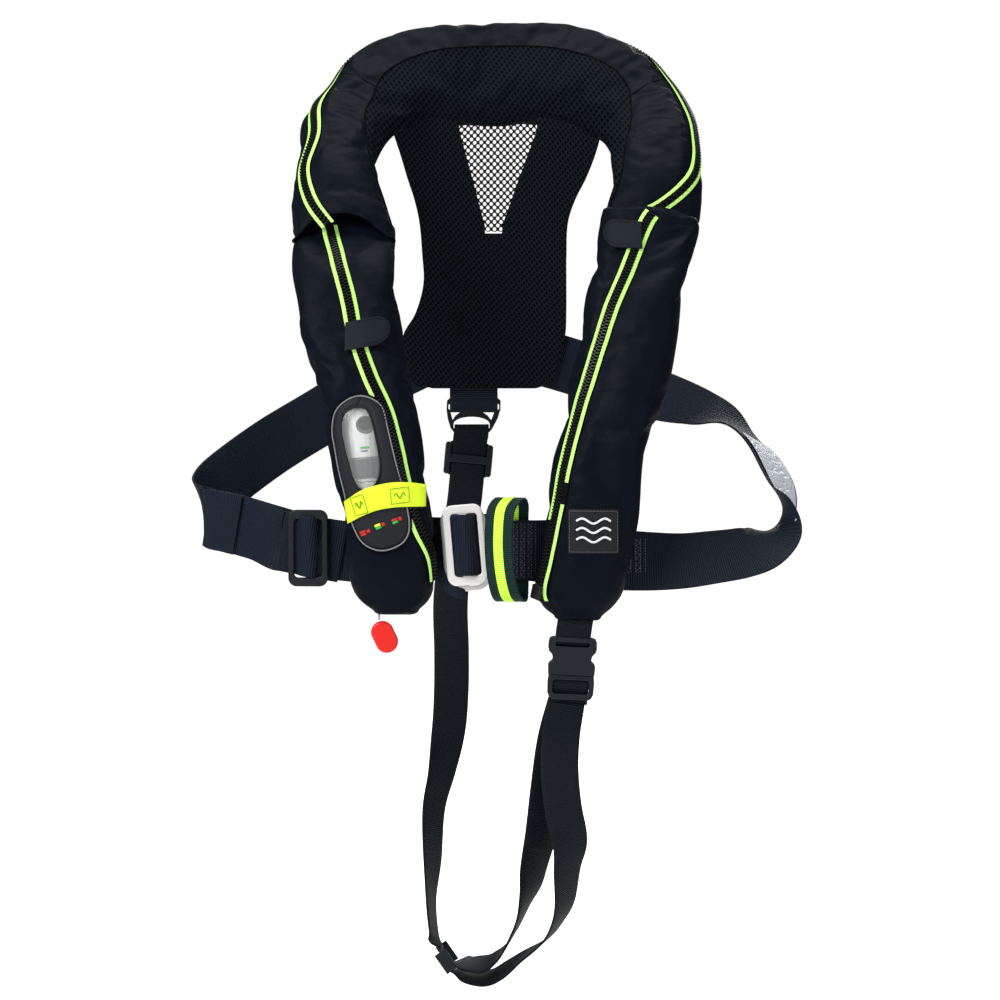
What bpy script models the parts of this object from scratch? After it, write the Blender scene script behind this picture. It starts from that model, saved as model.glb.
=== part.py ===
"""An inflatable life jacket, shaped as it hangs on a wearer.

Lengths in this file are millimetres, and MM turns them into Blender's metres. +Z is up, the front
faces -Y, and left and right are as seen from the front. The origin is at the nape, where the inner
edge of the collar rests on the neck.
"""

import math

import bmesh
import bpy
import numpy as np
from mathutils import Matrix, Vector

MM = 0.001
GAP = 0.3

# Fabrics
COVER = 1.4
LINING = 2.0
YOKE = 4.0
NET = 1.0
WEBBING = 1.8
TAPE = 1.2

# Webbing widths
BELT_WIDTH = 50.0
STRAP_WIDTH = 31.0
LOOP_WIDTH = 25.0

# Zip
ZIP_WIDTH = 14.0
ZIP_OPENING = 4.0

# Gas cylinder and inflator
CYLINDER_RADIUS = 12.0
CYLINDER_LENGTH = 126.0
BODY_RADIUS = 16.0

# Where moving pieces turn
LEFT_TAB_SEAM = (-120, -204.7, -181.4)
RIGHT_TAB_SEAM = (120.3, -158.1, -100.3)
LOOP_PIVOT = (13, -195, -360)

# Buckle
PLATE_WIDTH = 33.0
PLATE_HEIGHT = 66.0
PLATE_THICKNESS = 3.0
RING_WIDTH = 40.0
RING_HEIGHT = 74.0

ROUNDNESS = 0.83  # exponent of a padded section: 1 is an ellipse, less is squarer
FRONT = (0.0, -1.0, 0.0)

# Each station of a pad: inner edge, outer edge, thickness, front normal, zip angle, lining angle.
# Angles run round the section in degrees: 0 inner edge, 90 front, 180 outer edge, 270 back.
COLLAR = (
    ((-87, -122, -88), (-172, -125, -88), 44, (0, -0.98, 0.20), 103, 10),
    ((-101, -100, -52), (-171, -100, -52), 47, (0, -0.80, 0.60), 130, 26),
    ((-104, -82, -33), (-168, -76, -26), 47, (-0.10, -0.65, 0.75), 130, 42),
    ((-98, -56, -14), (-166, -52, 0), 46, (-0.20, -0.50, 0.85), 132, 68),
    ((-84, -26, -3), (-152, -20, 32), 44, (-0.25, -0.55, 0.80), 152, 90),
    ((-62, -6, 4), (-122, 8, 68), 41, (-0.15, -0.75, 0.60), 175, 104),
    ((-34, 0, 6), (-68, 26, 90), 38, (-0.05, -0.90, 0.40), 190, 110),
    ((0, 2, 6), (2, 31, 95), 36, (0, -0.95, 0.30), 196, 112),
    ((36, 0, 6), (68, 28, 92), 38, (0.05, -0.90, 0.40), 190, 110),
    ((66, -8, 1), (122, 10, 70), 41, (0.15, -0.75, 0.60), 178, 104),
    ((88, -30, -10), (152, -14, 36), 44, (0.25, -0.55, 0.80), 160, 90),
    ((97, -60, -22), (169, -50, 2), 46, (0.20, -0.50, 0.85), 146, 70),
    ((99, -85, -38), (172, -78, -25), 47, (0.10, -0.65, 0.75), 142, 48),
    ((97, -105, -60), (173, -100, -55), 46, (0, -0.85, 0.50), 123, 38),
    ((90, -122, -84), (170, -122, -84), 42, (0, -0.98, 0.20), 84, 20),
)
LEFT_ARM = (
    ((-87, -126, -92), (-173, -128, -92), 46, FRONT, 100, 0),
    ((-84, -150, -129), (-170, -150, -129), 50, FRONT, 92, 0),
    ((-81, -165, -158), (-165, -165, -158), 52, FRONT, 89, 0),
    ((-77, -176, -185), (-161, -176, -185), 54, FRONT, 87, 0),
    ((-72, -186, -218), (-150, -186, -218), 56, FRONT, 82, 0),
    ((-67, -194, -250), (-142, -194, -250), 58, FRONT, 70, 0),
    ((-62, -200, -280), (-135, -200, -280), 58, FRONT, 66, 0),
    ((-60, -203, -306), (-130, -203, -306), 58, FRONT, 60, 0),
    ((-53, -204, -340), (-121, -204, -340), 54, FRONT, 50, 0),
    ((-52, -204, -368), (-119, -204, -368), 48, FRONT, 27, 0),
    ((-52, -202, -390), (-115, -202, -390), 40, FRONT, 15, 0),
    ((-56, -200, -403), (-108, -200, -403), 27, FRONT, 12, 0),
    ((-62, -200, -412), (-103, -200, -412), 13, FRONT, 12, 0),
)
RIGHT_ARM = (
    ((92, -123, -88), (169, -126, -88), 44, FRONT, 79, 0),
    ((80, -150, -129), (161, -150, -129), 48, FRONT, 70, 0),
    ((73, -165, -158), (155, -165, -158), 50, FRONT, 65, 0),
    ((69, -177, -190), (149, -177, -190), 50, FRONT, 55, 0),
    ((61, -187, -224), (142, -187, -224), 50, FRONT, 49, 0),
    ((55, -195, -257), (132, -195, -257), 50, FRONT, 42, 0),
    ((47, -201, -290), (121, -201, -290), 50, FRONT, 42, 0),
    ((41, -204, -330), (114, -204, -330), 48, FRONT, 38, 0),
    ((36, -204, -366), (108, -204, -366), 44, FRONT, 32, 0),
    ((31, -202, -392), (102, -202, -392), 36, FRONT, 30, 0),
    ((36, -200, -405), (96, -200, -405), 24, FRONT, 30, 0),
    ((45, -200, -414), (89, -200, -414), 13, FRONT, 30, 0),
)

# Straps: centre of the webbing, then the direction across it.
LEFT_BELT = (
    ((-60, 37, -197), (0.1, 0, 1)),
    ((-92, 32, -213), (0, 0, 1)),
    ((-118, 8, -228), (-0.4, 0.1, 0.9)),
    ((-154, -18, -251), (-0.4, 0.1, 0.9)),
    ((-195, -55, -277), (-0.35, 0.1, 0.9)),
    ((-230, -92, -304), (-0.3, 0.1, 0.9)),
    ((-246, -114, -320), (-0.2, 0, 1)),
    ((-247, -128, -330), (-0.15, 0, 1)),
    ((-238, -141, -336), (-0.1, 0, 1)),
    ((-218, -152, -340), (-0.05, 0, 1)),
    ((-186, -164, -349), (0, 0, 1)),
    ((-156, -170, -357), (0, 0, 1)),
    ((-124, -171, -362), (0, 0, 1)),
    ((-84, -171, -364), (0, 0, 1)),
    ((-64, -174, -364), (0, 0, 1)),
)
RIGHT_BELT = (
    ((34, 41, -198), (0, 0, 1)),
    ((60, 38, -205.5), (0, 0, 1)),
    ((92, 18, -216), (-0.05, 0.2, 0.98)),
    ((121, 0, -227), (0, 0.4, 0.9)),
    ((149, -15, -236), (-0.05, 0.62, 0.75)),
    ((176, -32, -245), (-0.1, 0.8, 0.55)),
    ((198, -50, -255), (-0.1, 0.92, 0.35)),
    ((215, -66, -268), (0.15, 0.98, 0.05)),
    ((228, -81, -282), (0.40, 0.90, -0.05)),
    ((236, -98, -298), (0.45, 0.88, 0)),
    ((240, -116, -316), (0.30, 0.92, 0.20)),
    ((240, -129, -332), (0.10, 0.88, 0.45)),
    ((234, -141, -348), (0, 0.80, 0.60)),
    ((220, -150, -359), (-0.05, 0.70, 0.70)),
    ((202, -157, -364), (0, 0.62, 0.78)),
    ((180, -163, -367), (0, 0.55, 0.83)),
    ((152, -168, -370), (0, 0.45, 0.89)),
    ((120, -172, -370), (0, 0.25, 0.97)),
    ((84, -174, -368), (0, 0, 1)),
    ((52, -178, -364), (0, 0, 1)),
    ((30, -187, -361), (0, 0, 1)),
    ((12, -190.5, -359), (0, 0, 1)),
    ((1, -191, -358), (0, 0, 1)),
)
REAR_STRAP = (
    ((-24, 50.6, -271), (1, 0, 0)),
    ((-23.5, 50.4, -264), (1, 0, 0)),
    ((-23.5, 47, -259.6), (1, 0, 0)),
    ((-23.5, 43.6, -264), (1, 0, 0)),
    ((-24.9, 44.2, -275), (1, 0, -0.09)),
    ((-26.5, 44.2, -292), (1, 0, -0.09)),
    ((-28.3, 44.2, -312), (1, 0, -0.09)),
    ((-30.6, 43.8, -332), (1, 0, -0.09)),
    ((-36.5, 38.5, -364), (1, 0, -0.05)),
    ((-42, 25, -415), (1, 0, 0)),
    ((-41, 8, -459), (1, 0.05, 0)),
    ((-41, -5, -493), (0.98, 0.15, 0)),
    ((-43, -13, -525), (0.95, 0.3, 0)),
    ((-49, -24, -562), (0.75, 0.66, 0)),
    ((-56, -33, -595), (0.6, 0.8, 0)),
    ((-57, -45, -638), (0.45, 0.9, 0.1)),
    ((-58, -55, -671), (0.22, 0.97, 0.1)),
    ((-55, -64, -700), (0.15, 0.98, 0.1)),
    ((-51, -70, -710), (0.1, 0.98, 0.15)),
)
INNER_STRAND = (
    ((56.5, -193.5, -484.5), (1, 0, -0.05)),
    ((48, -189, -516), (1, 0.1, 0)),
    ((42, -180, -555), (0.95, 0.3, 0)),
    ((37, -166, -594), (0.9, 0.45, 0)),
    ((31, -151, -626), (0.75, 0.65, 0)),
    ((28, -141, -648), (0.55, 0.83, 0)),
    ((22, -131, -668), (0.25, 0.95, 0)),
    ((13, -120, -690), (0.15, 0.98, 0)),
    ((3, -109, -708), (0.1, 0.98, 0.2)),
    ((-9, -98, -718), (0, 0.85, 0.5)),
    ((-24, -88, -720), (0, 0.9, 0.4)),
    ((-32.6, -83, -718.5), (0.05, 0.98, 0.15)),
)
OUTER_STRAND = (
    ((56.3, -199.5, -484.5), (1, 0, -0.05)),
    ((52, -202, -512), (1, 0, 0)),
    ((51, -200, -540), (1, 0, 0)),
    ((54, -194, -572), (0.98, 0, 0)),
    ((60, -184, -603), (0.9, 0.4, 0)),
    ((58, -174, -627), (0.7, 0.7, 0)),
    ((56, -161, -658), (0.5, 0.85, 0)),
    ((49, -149, -678), (0.3, 0.95, 0)),
    ((38, -137, -694), (0.2, 0.97, 0)),
    ((22, -124, -708), (0.1, 0.97, 0.1)),
    ((6, -110, -722), (0, 0.95, 0.2)),
    ((-8, -100, -730), (0, 0.95, 0.2)),
    ((-24, -90, -731), (0, 0.98, 0.15)),
    ((-34.5, -84, -726), (0.05, 0.98, 0.15)),
)
# The soft loop's band: centre, then the direction across it.
LOOP_BAND = (
    ((13, -195, -352), (1, 0, 0)),
    ((13, -195.5, -334), (1, 0, 0)),
    ((13, -200, -322), (1, -0.1, 0)),
    ((10, -211, -317), (0.95, -0.3, 0)),
    ((3, -223, -325), (0.9, -0.4, 0)),
    ((1, -228, -342), (0.9, -0.43, 0)),
    ((1, -229, -360), (0.9, -0.43, 0)),
    ((3, -226, -380), (0.9, -0.4, 0)),
    ((7, -217, -396), (0.95, -0.3, 0)),
    ((12, -206, -400), (1, -0.15, 0)),
    ((13, -197.5, -390), (1, 0, 0)),
    ((13, -195, -371), (1, 0, 0)),
)
# The cord from the firing lever, through the lower end of the left arm, to the toggle.
LANYARD = (
    (-81.4, -203, -298),
    (-81, -203, -308),
    (-80.5, -203, -318),
    (-84, -202.5, -335),
    (-89, -201.5, -360),
    (-94, -200.5, -385),
    (-96.4, -200, -404),
    (-97, -200, -416.8),
)
LANYARD_RADIUS = 0.9


# ---------------------------------------------------------------- basic tools

def clear_scene():
    for obj in list(bpy.data.objects):
        bpy.data.objects.remove(obj, do_unlink=True)


def collection(name):
    made = bpy.data.collections.new(name)
    bpy.context.scene.collection.children.link(made)
    return made


clear_scene()
PARTS = collection("Life jacket")
CUTTERS = collection("Cutters")


def material(name, colour, roughness, metallic=0.0):
    made = bpy.data.materials.new(name)
    made.use_nodes = True
    shader = made.node_tree.nodes["Principled BSDF"]
    shader.inputs["Base Color"].default_value = (*colour, 1.0)
    shader.inputs["Roughness"].default_value = roughness
    shader.inputs["Metallic"].default_value = metallic
    return made


def spline(points, steps):
    """Rows of numbers on a Catmull-Rom curve through rows of numbers, steps to each stretch."""
    return np.array([
        between(points, i / steps) for i in range(steps * (len(points) - 1) + 1)
    ])


def between(points, place):
    """The row at a place counted in stations, so 2.5 is half way from the third to the fourth."""
    points = np.asarray(points, float)
    last = len(points) - 1
    i = min(max(int(place), 0), last - 1)
    f = place - i
    p1, p2 = points[i], points[i + 1]
    p0 = points[i - 1] if i else 2 * p1 - p2
    p3 = points[i + 2] if i + 2 <= last else 2 * p2 - p1
    return 0.5 * (
        2 * p1
        + (p2 - p0) * f
        + (2 * p0 - 5 * p1 + 4 * p2 - p3) * f**2
        + (3 * p1 - 3 * p2 + p3 - p0) * f**3
    )


def add(name, data, look):
    obj = bpy.data.objects.new(name, data)
    PARTS.objects.link(obj)
    obj.data.materials.append(look)
    return obj


def grid_object(name, rows, look, thickness, offset=0.0, closed=False):
    """An open sheet through rows of points, made solid. offset 1 grows it outward, -1 inward."""
    mesh = bmesh.new()
    loops = [[mesh.verts.new(Vector(p) * MM) for p in row] for row in rows]
    if closed:
        loops.append(loops[0])
    for first, second in zip(loops, loops[1:]):
        for i in range(len(first) - 1):
            mesh.faces.new((first[i], first[i + 1], second[i + 1], second[i]))
    return finish_sheet(name, mesh, look, thickness, offset)


def finish_sheet(name, mesh, look, thickness, offset):
    data = bpy.data.meshes.new(name)
    mesh.to_mesh(data)
    mesh.free()
    data.shade_smooth()
    obj = add(name, data, look)
    solid = obj.modifiers.new("Thickness", "SOLIDIFY")
    solid.thickness = thickness * MM
    solid.offset = offset
    return obj


def webbing(name, stations, width, look, thickness=WEBBING, steps=3, closed=False):
    """A strap along a smooth curve through stations, each a centre and a direction across."""
    rows = [(*centre, *Vector(across).normalized()) for centre, across in stations]
    if closed:
        rows = [*rows[-2:], *rows, *rows[:3]]
    path = spline(rows, steps)
    if closed:
        path = path[2 * steps:(2 + len(stations)) * steps]
    edges = [-0.5, 0.0, 0.5]
    sheet = [
        [Vector(row[:3]) + Vector(row[3:]).normalized() * width * e for e in edges] for row in path
    ]
    return grid_object(name, sheet, look, thickness, closed=closed)


def mesh_object(name, obj, look):
    """The evaluated mesh of a curve as an object of its own, with its caps welded."""
    graph = bpy.context.evaluated_depsgraph_get()
    data = bpy.data.meshes.new_from_object(obj.evaluated_get(graph))
    mesh = bmesh.new()
    mesh.from_mesh(data)
    bmesh.ops.remove_doubles(mesh, verts=mesh.verts, dist=1e-6)
    mesh.to_mesh(data)
    mesh.free()
    place = obj.matrix_world.copy()
    bpy.data.objects.remove(obj, do_unlink=True)
    data.materials.clear()
    made = add(name, data, look)
    made.name = name
    made.matrix_world = place
    return made


def outline_curve(name, loops, thickness, look):
    """A flat plate in its own XY plane, from an outline and any holes in it."""
    curve = bpy.data.curves.new(name, "CURVE")
    curve.dimensions = "2D"
    curve.fill_mode = "BOTH"
    curve.extrude = thickness / 2 * MM
    for loop in loops:
        line = curve.splines.new("POLY")
        line.points.add(len(loop) - 1)
        for point, (x, y) in zip(line.points, loop):
            point.co = (x * MM, y * MM, 0, 1)
        line.use_cyclic_u = True
    return add(name, curve, look)


def rounded_box(width, height, radius, centre=(0, 0), steps=4):
    """The outline of a rectangle with round corners."""
    points = []
    for corner in range(4):
        side = (1, -1, -1, 1)[corner], (1, 1, -1, -1)[corner]
        middle = [
            centre[0] + side[0] * (width / 2 - radius),
            centre[1] + side[1] * (height / 2 - radius),
        ]
        for i in range(steps + 1):
            angle = math.pi / 2 * (corner + i / steps)
            points.append((
                middle[0] + radius * math.cos(angle),
                middle[1] + radius * math.sin(angle),
            ))
    return points


def frame_at(x, y, z, tilt=0.0, turn=0.0, lean=0.0):
    """A plate's placing: upright and facing front, then leaned, tilted in its plane and turned."""
    return (
        Matrix.Translation(Vector((x, y, z)) * MM)
        @ Matrix.Rotation(math.radians(turn), 4, "Z")
        @ Matrix.Rotation(math.radians(tilt), 4, "Y")
        @ Matrix.Rotation(math.radians(90 + lean), 4, "X")
    )


def block(name, size, centre, look):
    """A box in the frame of the piece that it belongs to."""
    bpy.ops.mesh.primitive_cube_add(size=1)
    obj = bpy.context.object
    obj.name = name
    stretch = Matrix.Diagonal((size[0] * MM, size[1] * MM, size[2] * MM, 1))
    obj.data.transform(Matrix.Translation(Vector(centre) * MM) @ stretch)
    for owner in list(obj.users_collection):
        owner.objects.unlink(obj)
    PARTS.objects.link(obj)
    obj.data.materials.append(look)
    return obj


def helper(obj):
    """Marks an object as a cutter, or as a shape that is joined to another."""
    PARTS.objects.unlink(obj)
    CUTTERS.objects.link(obj)
    obj.hide_render = True
    obj.display_type = "WIRE"
    return obj


def boolean(obj, other, operation):
    change = obj.modifiers.new(operation.title(), "BOOLEAN")
    change.operation = operation
    change.object = helper(other)


def bevel(obj, width, segments=1):
    change = obj.modifiers.new("Bevel", "BEVEL")
    change.width = width * MM
    change.segments = segments
    change.limit_method = "ANGLE"
    change.use_clamp_overlap = True


def turned(name, profile, place, look, steps=24):
    """A turned solid: (radius, height) pairs down its outer side, from the axis to the axis."""
    data = bpy.data.meshes.new(name)
    data.from_pydata([(r * MM, 0, h * MM) for r, h in profile],
                     [(i, i + 1) for i in range(len(profile) - 1)], [])
    obj = add(name, data, look)
    screw = obj.modifiers.new("Turn", "SCREW")
    screw.steps = steps
    screw.render_steps = steps
    screw.use_merge_vertices = True
    screw.merge_threshold = 0.00001
    obj.matrix_world = place
    return obj


def set_origin(obj, point):
    """Puts an object's origin on its joint's axis, and leaves its shape where it is."""
    shift = obj.matrix_world.inverted() @ (Vector(point) * MM)
    obj.data.transform(Matrix.Translation(-shift))
    obj.matrix_world = obj.matrix_world @ Matrix.Translation(shift)


def carry(obj, carrier):
    """Parents a piece to the one that it moves with, and leaves it where it is."""
    place = obj.matrix_world.copy()
    obj.parent = carrier
    obj.matrix_parent_inverse = carrier.matrix_world.inverted()
    obj.matrix_world = place


def along(start, end):
    """A placing at start with +Z pointing to end."""
    start, end = Vector(start), Vector(end)
    turn = (end - start).to_track_quat("Z", "Y").to_matrix().to_4x4()
    return Matrix.Translation(start * MM) @ turn


# ---------------------------------------------------------------- padded tubes

class Pad:
    """A padded tube through stations, such as the collar or one arm of the jacket."""

    def __init__(self, stations):
        self.rows = [(*i, *o, thick, *n, zipped, lined) for i, o, thick, n, zipped, lined in stations]
        self.last = len(stations) - 1

    def section(self, t):
        row = between(self.rows, t * self.last)
        inner, outer = Vector(row[0:3]), Vector(row[3:6])
        across = (outer - inner) / 2
        normal = Vector(row[7:10])
        normal -= across * normal.dot(across) / across.dot(across)
        return (inner + outer) / 2, across, normal.normalized() * row[6] / 2

    def zip_angle(self, t):
        return between(self.rows, t * self.last)[10]

    def lining_angle(self, t):
        return between(self.rows, t * self.last)[11]

    def point(self, t, degrees, wide=1.0, deep=1.0, shift=0.0):
        """A point on the section. wide and deep shrink it, and shift moves it to the back."""
        centre, across, normal = self.section(t)
        cos, sin = math.cos(math.radians(degrees)), math.sin(math.radians(degrees))
        flat = -math.copysign(abs(cos) ** ROUNDNESS, cos) * wide
        out = math.copysign(abs(sin) ** ROUNDNESS, sin) * deep
        return centre + across * flat + normal * out - normal.normalized() * shift

    def outward(self, t, degrees):
        step = 0.004
        low, high = max(t - step, 0), min(t + step, 1)
        along_t = self.point(high, degrees) - self.point(low, degrees)
        around = self.point(t, degrees + 1.5) - self.point(t, degrees - 1.5)
        normal = around.cross(along_t).normalized()
        centre = self.section(t)[0]
        return normal if normal.dot(self.point(t, degrees) - centre) > 0 else -normal

    def lifted(self, t, degrees, lift):
        return self.point(t, degrees) + self.outward(t, degrees) * lift

    def place_of(self, z):
        """How far along an arm the height z is, from 0 to 1."""
        low, high = 0.0, 1.0
        for _ in range(30):
            middle = (low + high) / 2
            if self.section(middle)[0].z > z:
                low = middle
            else:
                high = middle
        return (low + high) / 2

    def on_front(self, x, z, lift):
        """The point on an arm's front at a given x and z, raised off it."""
        t = self.place_of(z)
        centre, across, _ = self.section(t)
        flat = max(min((x - centre.x) / across.x, 0.999), -0.999)
        cos = -math.copysign(abs(flat) ** (1 / ROUNDNESS), flat)
        return self.lifted(t, math.degrees(math.acos(cos)), lift)


def cover(name, pad, low, high, look, thickness=COVER, rows=26, columns=9):
    """A panel of a pad's skin between two angles. Each is a function of the place along the pad."""
    sheet = []
    for r in range(rows + 1):
        t = r / rows
        first, last = low(t), high(t)
        sheet.append([pad.point(t, first + (last - first) * c / columns) for c in range(columns + 1)])
    return grid_object(name, sheet, look, thickness, offset=pad_side(pad, sheet))


def pad_side(pad, sheet):
    """The Solidify offset that puts a sheet's thickness inside the pad."""
    a, b, c = sheet[1][1], sheet[1][2], sheet[2][1]
    normal = (b - a).cross(c - a)
    centre = pad.section(1.5 / (len(sheet) - 1))[0]
    return -1.0 if normal.dot(a - centre) > 0 else 1.0


def zip_strip(name, pad, start, end, look, rows):
    """Zip tape with its teeth, over the opening between two panels."""
    sheet = []
    for r in range(rows + 1):
        t = start + (end - start) * r / rows
        angle = pad.zip_angle(t)
        reach = (pad.point(t, angle + 1) - pad.point(t, angle - 1)).length / 2
        half = min(ZIP_WIDTH / 2 / reach, 40)
        sheet.append([pad.lifted(t, angle + half * s, 2 * GAP) for s in (-1, -0.35, 0.35, 1)])
    return grid_object(name, sheet, look, TAPE, offset=-pad_side(pad, sheet))


def bladder(name, pad, start, end, wide, deep, shift, look, rows=16, columns=14):
    """The folded bladder inside a cover: a closed form along the back of the pad."""
    mesh = bmesh.new()
    loops = []
    for r in range(rows + 1):
        t = start + (end - start) * r / rows
        loops.append([
            mesh.verts.new(pad.point(t, 360 * c / columns, wide, deep, shift) * MM)
            for c in range(columns)
        ])
    for first, second in zip(loops, loops[1:]):
        for i in range(columns):
            j = (i + 1) % columns
            mesh.faces.new((first[i], first[j], second[j], second[i]))
    mesh.faces.new(loops[0])
    mesh.faces.new(loops[-1])
    bmesh.ops.recalc_face_normals(mesh, faces=mesh.faces)
    data = bpy.data.meshes.new(name)
    mesh.to_mesh(data)
    mesh.free()
    data.shade_smooth()
    return add(name, data, look)


def fitted_ring(name, pad, outline, inside, lift, thickness, look):
    """A flat ring that follows an arm's front between an outline and a smaller one."""
    rows = [[pad.on_front(*outer, lift), pad.on_front(*inner, lift)]
            for outer, inner in zip(outline, inside)]
    return grid_object(name, rows, look, thickness, offset=outside(pad, rows), closed=True)


def fitted_sheet(name, pad, rows, lift, thickness, look):
    """A sheet that follows an arm's front, through rows of (x, z)."""
    sheet = [[pad.on_front(x, z, lift) for x, z in row] for row in rows]
    return grid_object(name, sheet, look, thickness, offset=outside(pad, sheet))


def outside(pad, sheet):
    a, b, c = sheet[0][0], sheet[0][1], sheet[1][0]
    return 1.0 if (b - a).cross(c - a).y < 0 else -1.0


def oval(centre, length, width, tilt, steps=28, power=0.8):
    """A long rounded outline in (x, z), tilted from upright."""
    points = []
    for i in range(steps):
        angle = 2 * math.pi * i / steps
        c, s = math.cos(angle), math.sin(angle)
        x = math.copysign(abs(s) ** power, s) * width / 2
        z = math.copysign(abs(c) ** power, c) * length / 2
        turn = math.radians(tilt)
        points.append((
            centre[0] + x * math.cos(turn) + z * math.sin(turn),
            centre[1] - x * math.sin(turn) + z * math.cos(turn),
        ))
    return points


def oval_rows(centre, length, width, tilt, rows=8, columns=6):
    """Rows of (x, z) that fill an oval, for a sheet of that shape."""
    filled = []
    turn = math.radians(tilt)
    for r in range(rows + 1):
        v = -math.cos(math.pi * r / rows) * 0.995
        reach = max((1 - abs(v) ** 2.5) ** 0.4, 0.12)
        row = []
        for c in range(columns + 1):
            x = (2 * c / columns - 1) * reach * width / 2
            z = v * length / 2
            row.append((
                centre[0] + x * math.cos(turn) + z * math.sin(turn),
                centre[1] - x * math.sin(turn) + z * math.cos(turn),
            ))
        filled.append(row)
    return filled


# ---------------------------------------------------------------- looks

NYLON = material("Cover nylon", (0.012, 0.014, 0.020), 0.65)
MESH = material("Spacer mesh", (0.010, 0.010, 0.012), 0.85)
WEB = material("Webbing", (0.010, 0.013, 0.020), 0.60)
NEON = material("Neon tape", (0.55, 0.95, 0.10), 0.60)
YELLOW = material("Yellow band", (0.80, 0.95, 0.05), 0.50)
SILVER = material("Reflective tape", (0.75, 0.77, 0.80), 0.35)
GREY = material("Grey piping", (0.35, 0.36, 0.38), 0.45)
CLEAR = material("Clear window", (0.85, 0.88, 0.88), 0.10)
RUBBER = material("Patch rubber", (0.02, 0.02, 0.024), 0.70)
BLADDER = material("Coated bladder", (0.85, 0.70, 0.05), 0.50)
WHITE = material("White plastic", (0.80, 0.80, 0.78), 0.40)
STEEL = material("Brushed steel", (0.62, 0.62, 0.60), 0.30, 1.0)
PAINT = material("Cylinder paint", (0.45, 0.46, 0.48), 0.35, 0.3)
PLASTIC = material("Charcoal plastic", (0.035, 0.038, 0.045), 0.50)
RED = material("Red plastic", (0.75, 0.03, 0.03), 0.40)
CORD = material("Clear cord", (0.80, 0.82, 0.82), 0.30)
LOOP_WEB = material("Loop webbing", (0.012, 0.040, 0.038), 0.60)


# ---------------------------------------------------------------- covers and what they hold

def collar(pad):
    seam = 1.2
    cover("collar_lining", pad, lambda t: seam - 70, lambda t: pad.lining_angle(t) - seam,
          MESH, LINING, rows=32, columns=7)
    cover("collar_border", pad, lambda t: pad.lining_angle(t) + seam,
          lambda t: pad.zip_angle(t) - ZIP_OPENING, NYLON, rows=32, columns=5)
    cover("collar_back", pad, lambda t: pad.zip_angle(t) + ZIP_OPENING,
          lambda t: 290 - seam, NYLON, rows=32, columns=7)
    zip_strip("collar_zip", pad, 0.01, 0.99, NEON, rows=56)
    bladder("collar_bladder", pad, 0.08, 0.92, 0.74, 0.62, 0, BLADDER)


def arm(name, pad, zip_end):
    """One arm's two cover panels, which the zip joins in front and a seam joins behind."""
    seam = 1.5
    cover(name + "_inner_panel", pad, lambda t: seam - 60, lambda t: pad.zip_angle(t) - ZIP_OPENING,
          NYLON, columns=6)
    outer = cover(name + "_outer_panel", pad, lambda t: pad.zip_angle(t) + ZIP_OPENING,
                  lambda t: 300 - seam, NYLON, columns=11)
    zip_strip(name + "_zip", pad, 0.005, pad.place_of(zip_end), NEON, rows=32)
    return outer


def window(pad, panel):
    """The window over the inflator: piping, a clear sheet and the hole behind it."""
    centre, tilt = (-110, -277), -9.5
    hole = outline_curve("window_hole", [oval((0, 0), 60, 21, tilt)], 30, NYLON)
    hole = mesh_object("window_hole", hole, NYLON)
    hole.matrix_world = frame_at(centre[0], -228, centre[1])
    boolean(panel, hole, "DIFFERENCE")
    fitted_sheet("clear_window", pad, oval_rows(centre, 66, 27, tilt), GAP, 0.8, CLEAR)
    edge = (-103, -296)
    fitted_ring("window_piping", pad, oval(edge, 129, 44, -13.5, power=0.7),
                oval(edge, 124.5, 39.5, -13.5, power=0.7), TAPE + 4 * GAP, 1.3, GREY)


def front_trim(left, right):
    top = [(-121, -318), (-107, -308.5), (-87, -303.6), (-72, -303.6), (-61, -307)]
    bottom = [(-118, -336), (-107, -329.5), (-95, -325), (-80, -323.5), (-65, -323)]
    rows = [[tuple(a) for a in spline(line, 3)] for line in (top, bottom)]
    middle = [((a[0] + b[0]) / 2, (a[1] + b[1]) / 2) for a, b in zip(*rows)]
    fitted_sheet("status_band", left, [rows[0], middle, rows[1]], 4.4, 0.9, YELLOW)
    patch = [[(57 + 41 * i / 4, -325 - 36 * j / 4) for i in range(5)] for j in range(5)]
    fitted_sheet("arm_patch", right, patch, 2 * GAP, 1.6, RUBBER)
    set_origin(tab("left_zip_tab", left, -120, -89, -182.5), LEFT_TAB_SEAM)
    set_origin(tab("right_zip_tab", right, 121, 91, -102), RIGHT_TAB_SEAM)


def tab(name, pad, root, tip, middle):
    """A hook-and-loop tab sewn beside the zip at x = root, with a round end at x = tip."""
    rows = []
    for i in range(7):
        share = i / 6
        half = 10.8 * min(1.0, (1.02 - share**4) ** 0.5 + 0.02)
        x = root + (tip - root) * share
        rows.append([(x, middle + half * s) for s in (1, 0.33, -0.33, -1)])
    return fitted_sheet(name, pad, rows, 2.3, 1.2, NYLON)


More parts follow.
